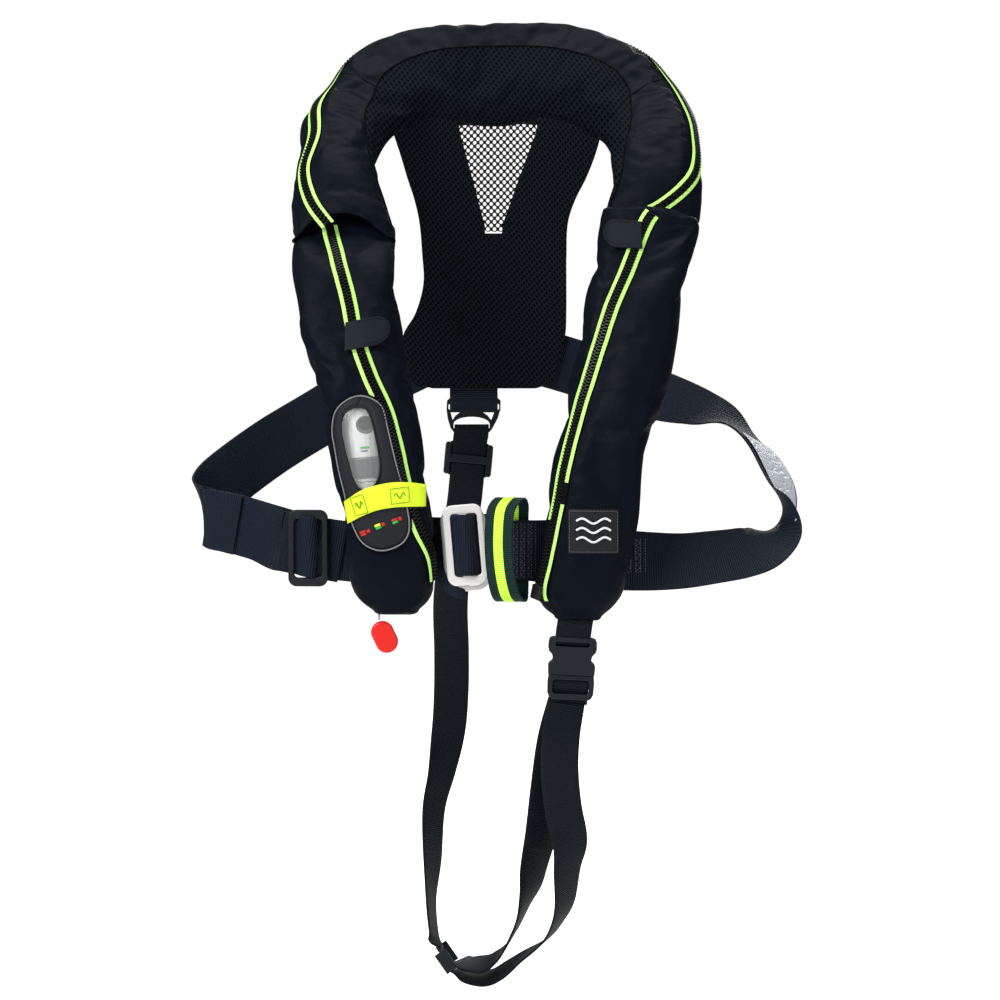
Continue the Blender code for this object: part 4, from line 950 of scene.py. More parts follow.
zip_line("collar_zip_line", neck, 0.0, 1.0, "collar_zip", 0.85)
zip_line("left_zip_line", left, 0.0, float(left.place_of(-383)), "left_zip", 0.95,
         ((LEFT, -232, -302), (RIGHT, -322, -400)))
zip_line("right_zip_line", right, 0.004, float(right.place_of(-400)), "right_zip", 0.95,
         ((LEFT, -334, -386), (RIGHT, -302, -320)))


# ---------------------------------------------------------------- straps

# How long a sway of the webbing is, and how near an end it dies away.
SWAY_LENGTH, SWAY_ENDS = 28, 25


def band_points(rows, width, thickness, rim=5):
    """Closed sections of a strap: flat faces, round edges. rows hold a centre and an across each."""
    centre, across = rows[:, :3], unit(rows[:, 3:6])
    ahead = unit(np.gradient(centre, axis=0))
    face = unit(np.cross(ahead, across))
    across = unit(np.cross(face, ahead))
    flat = np.linspace(-1, 1, 9) * (width / 2 - thickness / 2)
    section = [(x, thickness / 2) for x in flat]
    for k in range(1, rim):
        angle = math.pi / 2 - math.pi * k / rim
        section.append((flat[-1] + thickness / 2 * math.cos(angle), thickness / 2 * math.sin(angle)))
    section += [(-x, -y) for x, y in section]
    flat, out = np.array(section).T[:, None, :, None]
    return centre[:, None] + (flat * across[:, None] + out * face[:, None])


def woven(line):
    """A row for each station of a strap: its centre, and the unit vector across it."""
    return [(*centre, *unit(np.array(across, float))) for centre, across in line]


def band(name, line, width, look, node=None, thickness=WEBBING, step=2.5, closed=False,
         wave=0.0, body=JACKET, slot=None):
    """A woven strap along a smooth curve through stations. wave is how far it sways off that curve."""
    rows = even(woven(line), step, closed)
    if closed:
        rows = rows[:-1]
    if wave:
        ahead = unit(np.gradient(rows[:, :3], axis=0))
        face = unit(np.cross(ahead, unit(rows[:, 3:6])))
        steps = np.arange(len(rows))
        drift = [wave * noise.noise(Vector((i * step / SWAY_LENGTH, width, len(name)))) for i in steps]
        ends = np.minimum(1, np.minimum(steps, steps[::-1]) * step / SWAY_ENDS)
        rows[:, :3] += face * (np.array(drift) * ends)[:, None]
    if closed:
        rows = np.concatenate([rows, rows[:1]])
        doubled = np.concatenate([rows[-2:-1], rows, rows[1:2]])
        points = band_points(doubled, width, thickness)[1:-1]
        points[-1] = points[0]
    else:
        points = band_points(rows, width, thickness)
    flat = lengths_along(rows[:, :3])
    around = np.concatenate([points, points[:, :1]], axis=1)
    girth = np.concatenate([[0], np.cumsum(np.linalg.norm(np.diff(around[0], axis=0), axis=1))])
    uv = np.stack(np.meshgrid(flat, girth, indexing="ij"), axis=-1) * MM
    data = grid_mesh(name, around, uv)
    facing_out(data, weld=True)
    data.shade_smooth()
    return add(name, data, look, body, [node] if node else (), slot)


def stations_beside(line, places, lift):
    """Stations raised off the face of a strap, at places counted in the strap's stations."""
    rows = woven(line)
    at = rows_at(rows, places)
    ahead = rows_at(rows, np.asarray(places) + 0.02) - rows_at(rows, np.asarray(places) - 0.02)
    across = unit(at[:, 3:6])
    face = unit(np.cross(ahead[:, :3], across))
    return [(tuple(c), tuple(a)) for c, a in zip(at[:, :3] - face * np.reshape(lift, (-1, 1)), across)]


def dashes(points, length, gap):
    """Cuts a path into stitches of a given length with gaps between."""
    points = np.asarray(points, float)
    far = lengths_along(points)
    made = []
    for start in np.arange(0, far[-1] - length, length + gap):
        places = np.linspace(start, start + length, 3)
        made.append(np.stack([np.interp(places, far, axis) for axis in points.T], axis=1))
    return made


# The belt's halves, with the reflective tape round the right one's outermost bend.
band("left_belt_web", LEFT_BELT, BELT_WIDTH, WEB, "left_belt", wave=0.8)
band("right_belt_web", RIGHT_BELT, BELT_WIDTH, WEB, "right_belt")
tape_places = 7.3 + np.arange(14) / 3
band("reflective_tape_web", stations_beside(RIGHT_BELT, tape_places, -1.9), 42, SILVER,
     "reflective_tape", thickness=0.5)
# The belt's tail runs from its free end back along the left half and forward again, in rows of
# (place along it, lift off it), and then through the waist slider, in rows of (x, y).
FOLD = ((9.15, 5.5), (8.7, 5.5), (8.2, 5.5), (7.8, 5.2), (7.66, 3.9), (7.8, 2.6), (8.2, 2.4),
        (8.7, 2.3), (9.3, 2.3), (9.7, 2.4))
ROLL = ((-183, -168.6), (-177, -170.2), (-171, -171.6), (-166.5, -173.4), (-161.5, -178),
        (-156, -180), (-151, -178.6), (-147, -175), (-142, -173.8), (-134, -173.4), (-128, -173.2))
tail = stations_beside(LEFT_BELT, [place for place, _ in FOLD], [-lift for _, lift in FOLD])
tail += [((x, y, -357.8 - (x + 156) * 0.19), (0, 0, 1)) for x, y in ROLL]
band("belt_tail_web", tail, BELT_WIDTH, WEB, "belt_tail", step=1.5)

# Webbing rolled round the middle bars of the buckle's plate and ring, as (x, y).
PLATE_ROLL = ((-3, -192.6), (-11, -193.6), (-17.5, -197.5), (-18.2, -204), (-21, -209.5),
              (-26.6, -211.8), (-32.5, -209.8), (-35.6, -205.6), (-32.5, -201.6), (-27.5, -200.2))
RING_ROLL = ((-61, -177.4), (-52, -184.5), (-44, -190.2), (-37, -192.6), (-33.4, -193.2),
             (-32.2, -195.9), (-33.4, -198.7), (-36.5, -199), (-38.7, -198.2), (-38.9, -196.2))
for name, roll, height, lean in (
    ("plate_webbing", PLATE_ROLL, -355, 5),
    ("ring_webbing", RING_ROLL, -358, 3),
):
    slope = math.tan(math.radians(lean))
    line = [((x, y, height), (-slope, 0, 1)) for x, y in roll]
    band(name + "_web", line, BELT_WIDTH, WEB, name, step=1.0)

# The crotch strap: its stub at the back as (y, z), its strap, its two strands and its stub in front.
REAR_STUB = (
    (43.2, -206), (43.2, -222), (43.3, -235), (44, -242.6), (47, -246.0),
    (50, -242.6), (50.7, -235), (50.8, -222), (50.8, -206),
)
band("rear_stub_web", [((-21.5, y, z), (1, 0, 0)) for y, z in REAR_STUB], 43, WEB, "rear_stub", step=1.2)
band("rear_strap_web", REAR_STRAP, STRAP_WIDTH, STRAP_WEB, "rear_strap", step=2)
for name, line in (("inner_strand", INNER_STRAND), ("outer_strand", OUTER_STRAND)):
    strand = band(name + "_web", line, STRAP_WIDTH, STRAP_WEB, name, body=None)
    tuple(c * MM for c in line[0][0])
    tuple(c * MM for c in line[-1][0])
    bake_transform(strand)
STRAP_STUB = ((66, -198.4, -402), (64.6, -198.3, -412), (63, -196, -422), (62, -193.3, -430),
              (61.7, -193.2, -435), (61.6, -197, -438), (61.7, -200.8, -435), (62, -200.7, -430),
              (63, -200.9, -422), (64.6, -201.2, -412), (66, -201.2, -402))
slope = math.tan(math.radians(3))
band("strap_stub_web", [(centre, (1, 0, -slope)) for centre in STRAP_STUB], 29, STRAP_WEB, "strap_stub",
     step=1.2)

# The soft loop round the belt, with its two bright stripes.
LOOP = "tether_loop"
band("soft_loop_web", LOOP_BAND, LOOP_WIDTH, LOOP_WEB, "soft_loop", closed=True, step=1.5, body=LOOP)
for side, name, end in ((-1, "loop_stripe_outer", 12.0), (1, "loop_stripe_inner", 3.5)):
    places = np.arange(0.5, end, 0.5)
    wrapped = LOOP_BAND + LOOP_BAND[:2]
    stripe = stations_beside(wrapped, places, side * 1.0)
    band(name, stripe, 8.4, LOOP_NEON, thickness=0.4, step=1.5, body=LOOP, slot="loop_webbing")

# The belt's end is folded forward over the back of the soft loop and sewn down.
FLAP = ((42, -192.8), (36, -197.0), (28, -199.1), (12, -200.0), (2, -199.8))
band("belt_end_flap", [((x, y, -359.5), (0, 0, 1)) for x, y in FLAP], BELT_WIDTH - 1, WEB,
     thickness=1.2, step=1.5, slot="webbing")


def bartack(name, low_x, high_x, rows, bottom, top, depth_at):
    """Rows of stitches across a strap, with a zigzag between each pair."""
    lines = []
    for i in range(rows):
        x = low_x + (high_x - low_x) * i / (rows - 1)
        heights = np.linspace(bottom, top, 40)
        sway = np.array([0.5 * noise.noise(Vector((x, z * 0.3, 3))) for z in heights])
        path = np.stack([x + sway, [depth_at(x)] * 40, heights], axis=1)
        lines += dashes(path, 1.4, 1.0)
    for i in range(0, rows - 1, 2):
        x = low_x + (high_x - low_x) * (i + 0.5) / (rows - 1)
        half = (high_x - low_x) / (rows - 1) / 2
        path = [(x + half * (-1) ** k, depth_at(x), z) for k, z in enumerate(np.arange(bottom, top, 2.6))]
        lines += dashes(path, 1.2, 0.9)
    thread(name, lines, THREAD, 0.26)


bartack("loop_bartack", 13, 31, 7, -382, -337, lambda x: -200.85 + 0.056 * (x - 12) + 0.22 * max(x - 28, 0))
bartack("belt_bartack", 106, 122, 5, -391, -351, lambda x: -175.3)


# ---------------------------------------------------------------- yoke

# Each row: height at the middle, x of the left and of the right edge, depth at the middle.
YOKE_ROWS = (
    (20, -93, 92, 1), (3, -88, 88, 5), (-16, -84, 84, 10), (-40, -79, 77, 17), (-76, -70, 63, 25),
    (-108, -67, 61, 29), (-134, -66, 61, 32), (-160, -73, 61, 34), (-180, -84, 60, 35),
    (-204, -82, 54, 37), (-216, -80, 51, 37.6), (-223, -73, 45, 38), (-227, -58, 34, 38),
)
# The net window: x of its sides at the top and at the bottom, and the height of its lower end.
NET_TOP = (-34.0, 34.6)
NET_BOTTOM = (-11.3, 3.8)
NET_END = -83.0
YOKE_THICKNESS = 4.0


def yoke_points(place, x):
    """Points on the yoke at a place counted in its rows, at one or more x."""
    z, _, _, depth = rows_at(YOKE_ROWS, [place])[0]
    x = np.asarray(x, float)
    drop = 17 * (x / 88) ** 2 * np.clip(1 + (z - 3) / 60, 0, 1)
    return np.stack([x, depth - 8 * (x / 85) ** 2, z - drop], axis=-1)


def net_edges(z):
    share = np.clip((3 - z) / (3 - NET_END), 0, 1)
    return [top + (bottom - top) * share for top, bottom in zip(NET_TOP, NET_BOTTOM)]


def yoke():
    """The padded mesh back: two faces that meet in bound edges, open in a V."""
    side = 13
    grid, open_rows = [], 0
    for place in np.linspace(0, len(YOKE_ROWS) - 1, 61):
        z, low, high, _ = rows_at(YOKE_ROWS, [place])[0]
        a, b = net_edges(z)
        xs = np.concatenate([np.linspace(low, a, side), np.linspace(b, high, side)])
        grid.append(yoke_points(place, xs))
        open_rows += z > NET_END
    grid = np.array(grid)
    uv = grid_uv(grid)
    mesh = bmesh.new()
    layer = mesh.loops.layers.uv.new("Metres")
    verts = [[mesh.verts.new(p * MM) for p in row] for row in grid]
    for r in range(len(grid) - 1):
        for c in range(2 * side - 1):
            if c == side - 1 and r < open_rows:
                continue
            corners = ((r, c), (r, c + 1), (r + 1, c + 1), (r + 1, c))
            uv_face(mesh, layer, uv, corners, lambda a, b: verts[a][b])
    obj = add("yoke_mesh", finish_mesh(mesh, "yoke_mesh"), YOKE_MESH, replaces=["yoke_panel"])
    solid(obj, YOKE_THICKNESS, 0)
    bevelled(obj, 1.4, 40)


def net():
    """Diamond netting: a lattice of quads, thinned to its threads."""
    half_wide, half_high, top = 2.9, 3.15, 9
    mesh = bmesh.new()
    corners = {}
    count = np.linspace(0, len(YOKE_ROWS) - 1, 400)
    heights = rows_at(YOKE_ROWS, count)[:, 0]

    def corner(i, j):
        if (i, j) not in corners:
            place = np.interp(j * half_high - top, -heights, count)
            corners[i, j] = mesh.verts.new(yoke_points(place, i * half_wide) * MM)
        return corners[i, j]

    for j in range(1, 32):
        for i in range(-16, 17):
            z = top - j * half_high
            low, high = net_edges(z)
            if (i + j) % 2 and low - 2 < i * half_wide < high + 2 and z > NET_END - 4:
                mesh.faces.new((corner(i - 1, j), corner(i, j + 1), corner(i + 1, j), corner(i, j - 1)))
    obj = add("yoke_net_threads", finish_mesh(mesh, "yoke_net_threads", smooth=False), NET,
              replaces=["yoke_net"])
    threads = obj.modifiers.new("Threads", "WIREFRAME")
    threads.thickness = 1.0 * MM
    threads.use_replace = True
    threads.use_boundary = True
    subdivided(obj)
    return obj


yoke()
netting = net()


# ---------------------------------------------------------------- trim on the arms

def lifted_grid(pad, xz, lift):
    """A grid of (x, z) laid on an arm's front, raised off it."""
    xz = np.asarray(xz, float)
    flat = xz.reshape(-1, 2)
    return pad.on_front(flat[:, 0], flat[:, 1], lift).reshape(*xz.shape[:2], 3)


def lifted_line(pad, line, lift):
    """A line of (x, z) laid on an arm's front, raised off it."""
    return lifted_grid(pad, np.asarray(line, float)[None], lift)[0]


def lifted_lines(pad, lines, lifts):
    """Lines of (x, z) laid on an arm's front, each raised off it by its own lift."""
    return np.stack([lifted_line(pad, line, lift) for line, lift in zip(lines, lifts)])


def grid_piece(name, points, look, body=JACKET, thickness=0.0, closed=False, **marks):
    """A sheet through a grid of points, thickened towards the front."""
    if closed:
        points = np.concatenate([points, points[:, :1]], axis=1)
    obj = add(name, grid_mesh(name, points, grid_uv(points)), look, body, **marks)
    if thickness:
        solid(obj, thickness, outside_offset(points))
    return obj


def outside_offset(points):
    """The Solidify offset that grows a sheet towards the front."""
    a, b, c = points[0, 0], points[0, 1], points[1, 0]
    return 1.0 if np.cross(b - a, c - a)[1] > 0 else -1.0


def sewn_seams():
    """The dark lines where the collar's lining meets its border, and where its border is joined."""
    sock = collar_sock
    column = sock.panel.index("border")
    last = len(sock.panel) - 1 - sock.panel[::-1].index("border")
    tube("lining_seam", sock.points[sock.heads:-6, column], 0.75, BLACK_THREAD, slot="nylon")
    for place, row in zip(SHOULDER_SEAMS, seam_rows(sock)):
        line = sock.points[row, column:last - 3]
        tube(f"shoulder_seam_{place}", line, 0.5, BLACK_THREAD, slot="nylon")


def outline(places, steps=96):
    """A smooth closed line through places, as evenly spaced points."""
    flat = [(x, z, 0) for x, z in places]
    points = even(flat, 1.0, closed=True)[:, :2]
    far = lengths_along(points)
    wanted = np.linspace(0, far[-1], steps + 1)[:-1]
    return np.stack([np.interp(wanted, far, column) for column in points.T], axis=1)


def grown(line, distance):
    """A closed line moved outward in its plane."""
    ahead = unit(np.roll(line, -1, axis=0) - np.roll(line, 1, axis=0))
    return line + np.stack([-ahead[:, 1], ahead[:, 0]], axis=1) * distance


def window():
    """The stiff panel over the inflator, its edging, and the clear window in it."""
    outer, inner = outline(PANEL_EDGE), outline(WINDOW_EDGE)
    share = np.linspace(0, 1, 15)
    inward = share[:, None, None]
    lift = 1.5 + 0.9 * np.sin(share * np.pi)
    points = lifted_lines(left, outer * (1 - inward) + inner * inward, lift)
    grid_piece("window_panel", points, PANEL, closed=True, thickness=0.6, slot="patch")
    tube("window_edging", lifted_line(left, outer, 2.4), 0.65, PIPING, replaces=["window_piping"],
         closed=True)
    for name, line, lift, radius, look in (
        ("window_edging_seam", grown(outer, 1.6), 1.6, 0.9, BLACK_THREAD),
        ("window_rim", grown(inner, 0.5), 2.2, 0.8, PANEL),
    ):
        tube(name, lifted_line(left, line, lift), radius, look, closed=True, slot="patch")
    share = np.linspace(0, 1, 9)
    inward = share[:, None, None] * 0.96
    points = lifted_lines(left, inner * (1 - inward) + inner.mean(axis=0) * inward, 1.6 + 1.2 * share ** 0.6)
    tip = points[-1:].mean(axis=1, keepdims=True)
    points = np.concatenate([points, np.repeat(tip, len(inner), axis=1)])
    grid_piece("window_sheet", points, CLEAR, closed=True, replaces=["clear_window"])


# The middle line of the inflator's body.
BODY_BASE, BODY_TOP = (-106.6, -205.7, -304), (-112.3, -201, -242)
BODY_RADIUS = 16.0


def on_body(up, turn, lift=0.0):
    """A point on the inflator's body: height above its base, and the angle from the front."""
    axis = unit(np.subtract(BODY_TOP, BODY_BASE).astype(float))
    side = unit(np.cross(axis, (0, -1, 0)))
    front = np.cross(side, axis)
    turn = math.radians(turn)
    reach = BODY_RADIUS + lift
    return np.array(BODY_BASE) + axis * up + (side * math.sin(turn) + front * math.cos(turn)) * reach


def body_patch(name, centre_up, centre_turn, high, wide, look, lift, round_end):
    """A small piece laid on the body, square or round."""
    rows = []
    for i in range(9):
        row = []
        for j in range(13):
            if round_end:
                a, q = 2 * math.pi * j / 12, i / 8
                up, turn = high / 2 * q * math.cos(a), wide / 2 * q * math.sin(a)
            else:
                up, turn = high * (0.5 - i / 8), wide * (j / 12 - 0.5)
            row.append(on_body(centre_up + up, centre_turn + turn, lift))
        rows.append(row)
    grid_piece(name, np.array(rows), look, slot="white_plastic")


def inflator_details():
    """The round recess with painted shade in it, the printed dash and the bright edge of the fabric beside
    the body.
    """
    body_patch("body_recess", 46, 14, 15, 58, GREY, 0.25, True)
    # Painted shade: a near-black patch inside the grey recess stands for the shade in its depth.
    body_patch("body_recess_painted_shade", 47, 14, 11, 43, BLACK_THREAD, 0.45, True)
    body_patch("body_dash", 27.5, 6, 1.8, 26, GREEN, 0.3, False)
    body_patch("body_dash_dark", 24.8, 4, 1.2, 20, THREAD, 0.3, False)
    line = [on_body(up, 62, 1.0) for up in np.linspace(58, 14, 24)]
    tube("body_side_cord", line, 0.7, ZIP_NEON, slot="white_plastic")


def small_box(name, pad, corners, lift, look, thickness, steps):
    """A flat mark on an arm: four (x, z) corners, clockwise from the upper left."""
    a, b, c, d = (np.array(p, float) for p in corners)
    u = np.linspace(0, 1, steps)[:, None]
    v = u[:, None]
    xz = (a * (1 - u) + b * u) * (1 - v) + (d * (1 - u) + c * u) * v
    return grid_piece(name, lifted_grid(pad, xz, lift), look, thickness=thickness, slot="patch")


def turned(spots, centre, tilt):
    """Places (x, z) about a centre, turned by an angle in degrees."""
    c, s = math.cos(math.radians(tilt)), math.sin(math.radians(tilt))
    return [(centre[0] + x * c - z * s, centre[1] + x * s + z * c) for x, z in spots]


def turned_box(centre, width, height, tilt):
    """Corners of a tilted rectangle in (x, z), clockwise from the upper left."""
    x, z = width / 2, height / 2
    return turned(((-x, z), (x, z), (x, -z), (-x, -z)), centre, tilt)


# The edges of the status band from left to right.
BAND_TOP = ((-121, -318), (-107, -308.5), (-87, -303.6), (-72, -303.9), (-62, -306))
BAND_BOTTOM = ((-118, -336), (-107, -329.5), (-95, -325), (-80, -323), (-61.5, -323.5))
# Its framed pictures: centre, width, height, tilt.
PICTURES = (((-109.6, -321), 9.0, 15.0, 16), ((-80, -314), 13, 12, 6))
# The groups of marks below it: centre, and the looks of the upper and lower bar.
MARKS = (
    ((-105.8, -343.4), RED_INK, RED_INK),
    ((-94.4, -337.8), YELLOW, GREEN),
    ((-81.2, -333.4), RED_INK, GREEN),
)
MARK_TILT = 24


def status_band():
    """The yellow band under the inflator, its two framed pictures, and the marks printed below it."""
    places = np.linspace(0, len(BAND_TOP) - 1, 41)
    high, low = rows_at(BAND_TOP, places), rows_at(BAND_BOTTOM, places)
    down = np.linspace(0, 1, 7)[:, None, None]
    points = lifted_grid(left, high * (1 - down) + low * down, 4.6)
    grid_piece("status_band_cloth", points, YELLOW, thickness=0.9, replaces=["status_band"])
    for i, (middle, width, height, tilt) in enumerate(PICTURES):
        border = lifted_line(left, turned_box(middle, width, height, tilt), 5.9)
        tube(f"status_frame_{i}", border, 0.35, INK, closed=True, slot="yellow_band")
        wave = [
            ((k / 8 - 0.5) * width * 0.6, math.sin(k / 8 * math.pi * 3) * height * 0.2) for k in range(9)
        ]
        line = lifted_line(left, turned(wave, middle, tilt), 5.9)
        tube(f"status_glyph_{i}", line, 0.4, INK, slot="yellow_band")
    for i, (middle, upper, lower) in enumerate(MARKS):
        spots = ((-1.9, 1.1, 4.6, 1.9, upper), (-1.9, -1.1, 4.6, 1.9, lower), (2.6, 0, 2.6, 3.0, RED_INK))
        for j, (x, z, width, height, look) in enumerate(spots):
            corners = turned_box(turned([(x, z)], middle, MARK_TILT)[0], width, height, MARK_TILT)
            small_box(f"status_mark_{i}_{j}", left, corners, 2.7, look, 0.3, 3)


def patch():
    """The square badge on the right arm, with a sewn edge and plain wavy lines for a mark."""
    low, high, bottom, top = PATCH_BOX
    corners = [(low, top), (high, top), (high, bottom), (low, bottom)]
    badge = small_box("arm_badge", right, corners, 0.8, RUBBER, 1.3, 16)
    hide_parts("arm_patch")
    margin, sides = 1.6, 12
    low, high, bottom, top = low + margin, high - margin, bottom + margin, top - margin
    inset = [(low, top), (high, top), (high, bottom), (low, bottom), (low, top)]
    path = [
        (a[0] + (b[0] - a[0]) * k / sides, a[1] + (b[1] - a[1]) * k / sides)
        for a, b in zip(inset, inset[1:]) for k in range(sides)
    ]
    path.append(inset[0])
    stitches = dashes(lifted_line(right, path, 2.2), 1.7, 0.8)
    thread("arm_badge_stitches", stitches, THREAD, 0.22, slot="patch")
    for i, height in enumerate((-334.5, -342, -349.5)):
        xs = np.linspace(64, 91, 40)
        zs = height + 2.0 * np.sin((xs - 64) / 27 * 2 * np.pi * 1.5)
        line = lifted_line(right, np.stack([xs, zs], axis=-1), 2.3)
        tube(f"arm_badge_wave_{i}", line, 0.9, MARK, slot="patch")


# A tab's half width, and how many of its rows of cells are sewn to the arm.
TAB_HALF = 11.4
SEWN_ROWS = 7


def tab(name, pad, root, tip, middle, tilt, body, node, tip_rise=0.0):
    """A hook-and-loop tab beside the zip, with a round end and a line of stitches round its edge."""
    def on_tab(spots, above):
        spots = np.asarray(spots, float)
        share = (spots[..., :1] - root) / (tip - root)
        low, high = lifted_grid(pad, spots, above), lifted_grid(pad, spots, above + tip_rise)
        return low + (high - low) * share

    rows = []
    for share in np.linspace(0, 1, 25):
        half = TAB_HALF * min(1.0, max(1.0 - max(share - 0.62, 0) ** 2 / 0.146, 0.0) ** 0.5 + 0.06)
        x = root + (tip - root) * share
        rise = (x - (root + tip) / 2) * math.tan(math.radians(tilt))
        rows.append([(x, middle + rise + half * s) for s in np.linspace(1, -1, 15)])
    points = on_tab(rows, 5.0)
    obj = grid_piece(name, points, TAB_NYLON, None, 1.4, replaces=[node])
    bevelled(obj, 0.5)
    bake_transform(obj)
    rows = np.array(rows)
    centre = np.array([(root + tip) / 2, middle])
    path = [*rows[SEWN_ROWS:-2, 1], *rows[-2, 2:-2], *rows[SEWN_ROWS:-2, -2][::-1]]
    path = centre + (np.array(path) - centre) * 0.94
    thread(name + "_stitches", dashes(on_tab(path[None], 6.5)[0], 1.6, 0.8), BLACK_THREAD, 0.2, body, "nylon")


sewn_seams()
window()
inflator_details()
status_band()
patch()
tab("left_tab_cloth", left, -124, -91, -184.5, 8, "left_tab", "left_zip_tab", tip_rise=4.5)
tab("right_tab_cloth", right, 120, 91, -102, -3, "right_tab", "right_zip_tab")


# ---------------------------------------------------------------- hardware

def frame_at(x, y, z, tilt=0.0, turn=0.0):
    """A plate's placing: upright and facing front, then tilted in its plane and turned."""
    return (
        Matrix.Translation(Vector((x, y, z)) * MM)
        @ Matrix.Rotation(math.radians(turn), 4, "Z")
        @ Matrix.Rotation(math.radians(tilt), 4, "Y")
        @ Matrix.Rotation(math.radians(90), 4, "X")
    )


def rounded_box(width, height, radius, centre=(0, 0), steps=10):
    """A closed outline in a plate's plane."""
    points = []
    for corner in range(4):
        side = (1, -1, -1, 1)[corner], (1, 1, -1, -1)[corner]
        middle = [centre[k] + side[k] * ((width, height)[k] / 2 - radius) for k in range(2)]
        for i in range(steps + 1):
            angle = math.pi / 2 * (corner + i / steps)
            points.append((middle[0] + radius * math.cos(angle), middle[1] + radius * math.sin(angle)))
    return points


def plate(name, loops, thickness, look, place, body=JACKET, edge=0.8, replaces=(), slot=None):
    """A flat plate with holes and rounded edges."""
    curve = bpy.data.curves.new(name, "CURVE")
    curve.dimensions = "2D"
    curve.fill_mode = "BOTH"
    curve.extrude = (thickness / 2 - edge) * MM
    curve.bevel_depth = edge * MM
    curve.offset = -edge * MM
    curve.bevel_resolution = 3
    polylines(curve, [[(x, y, 0) for x, y in loop] for loop in loops], closed=True)
    return add(name, curve, look, body, replaces, slot, place)


plate("buckle_plate_steel",
      [rounded_box(33, 66, 8), rounded_box(8.2, 51, 3, (-6.2, 0)), rounded_box(9.6, 51, 3, (6.9, 0))],
      3, STEEL, frame_at(-26.6, -206, -355, tilt=-5), "waist_plate", 1.0, ["buckle_plate"])
plate("buckle_ring_steel",
      [rounded_box(37, 69, 11), rounded_box(4.2, 54, 1.5, (-12.4, 0)), rounded_box(22, 60, 6, (3.2, 0))],
      3, STEEL, frame_at(-26.5, -196, -359, tilt=-5), JACKET, 1.0, ["buckle_ring"])
plate("waist_slider_frame", [rounded_box(33, 63.5, 7), rounded_box(23.5, 48.5, 3.5)], 3.4, PLASTIC,
      frame_at(-156.4, -177, -359, turn=-6), JACKET, 0.9, ["waist_slider"])
plate("waist_slider_bar", [rounded_box(3.6, 57, 0.8)], 2.6, PLASTIC,
      frame_at(-156.4, -177, -358, turn=-6), JACKET, 0.5, slot="plastic")

# The strap that keeps the buckle's plate on the belt.
KEEPER = (((-52, -188, -364), (0.5, -0.2, 0.85)), ((-50.5, -194, -370), (0.55, -0.2, 0.8)),
          ((-47.5, -199.5, -379), (0.75, 0, 0.6)), ((-42, -201, -388), (0.7, 0, 0.7)),
          ((-34, -200, -393.5), (0.3, 0, 0.95)), ((-27, -197, -396), (0, 0, 1)))
band("belt_keeper_strap", KEEPER, 8.5, WEB, "belt_keeper", thickness=1.2, step=1.5)


def side_release_buckle():
    """The socket's two shells with the walls between them, and the plug's frame, bar, rib and guide."""
    place = frame_at(60.3, -197, -462, tilt=3)

    def at(depth):
        return place @ Matrix.Translation(Vector((0, 0, depth)) * MM)

    half = [(18.9, 0), (19.3, 7.5), (18.6, 9.6), (16.2, 11.6), (15.8, 13.6), (16.6, 16.4), (19.2, 19.2),
            (19.9, 22), (19.6, 28), (18.4, 30.2), (16, 31)]
    shell = [half + [(-x, y) for x, y in reversed(half)], rounded_box(28, 3.4, 1.5, (0, 25.2))]
    plate("socket_front", shell, 2.4, PLASTIC, at(4.5), edge=0.9, replaces=["buckle_socket"])
    plate("socket_back", shell, 2.4, PLASTIC, at(-4.5), edge=0.9, slot="plastic")
    walls = (
        (3, 8, 17.3, 4), (3, 8, -17.3, 4), (36, 2.4, 0, 20.8),
        (36, 2.2, 0, 29), (3, 9, 17.6, 25), (3, 9, -17.6, 25),
    )
    for i, (width, height, x, y) in enumerate(walls):
        plate(f"socket_wall_{i}", [rounded_box(width, height, 0.8, (x, y))], 7, PLASTIC, place, edge=0.3,
              slot="plastic")
    half = [(18.6, -0.2), (19.2, -6), (18.9, -15), (17.2, -19), (14, -20.6)]
    plug_outline = [half + [(-x, y) for x, y in reversed(half)], rounded_box(29.6, 11.0, 2.4, (0, -9.8))]
    plate("plug_frame", plug_outline, 4.6, PLASTIC, at(2.3), "strap_plug", 1.0, ["buckle_plug"])
    for name, loop, thickness, depth, edge in (
        ("plug_bar", rounded_box(34, 3, 1.2, (0, -9.4)), 3, -1.5, 0.6),
        ("plug_ribs", rounded_box(32, 1.0, 0.4, (0, -1.6)), 1.2, 4.9, 0.3),
        ("plug_guide", rounded_box(6, 17, 1.5, (0, 8)), 5, 0, 0.5),
    ):
        plate(name, [loop], thickness, PLASTIC, at(depth), "strap_plug", edge, slot="plastic")


# Webbing wrapped round the plug's bar.
WRAP = ((58.3, -195.6, -486), (58.8, -195.8, -479), (59.3, -198.2, -473), (59.6, -198.6, -468),
        (59.8, -195.6, -465.2), (59.6, -192.9, -468), (59.3, -192.6, -475), (58.8, -193, -480),
        (58.3, -193.3, -486))
side_release_buckle()
band("plug_wrap", [(centre, (1, 0, -0.05)) for centre in WRAP], STRAP_WIDTH - 0.6, STRAP_WEB,
     thickness=1.6, step=1.0, body="strap_plug", slot="webbing")


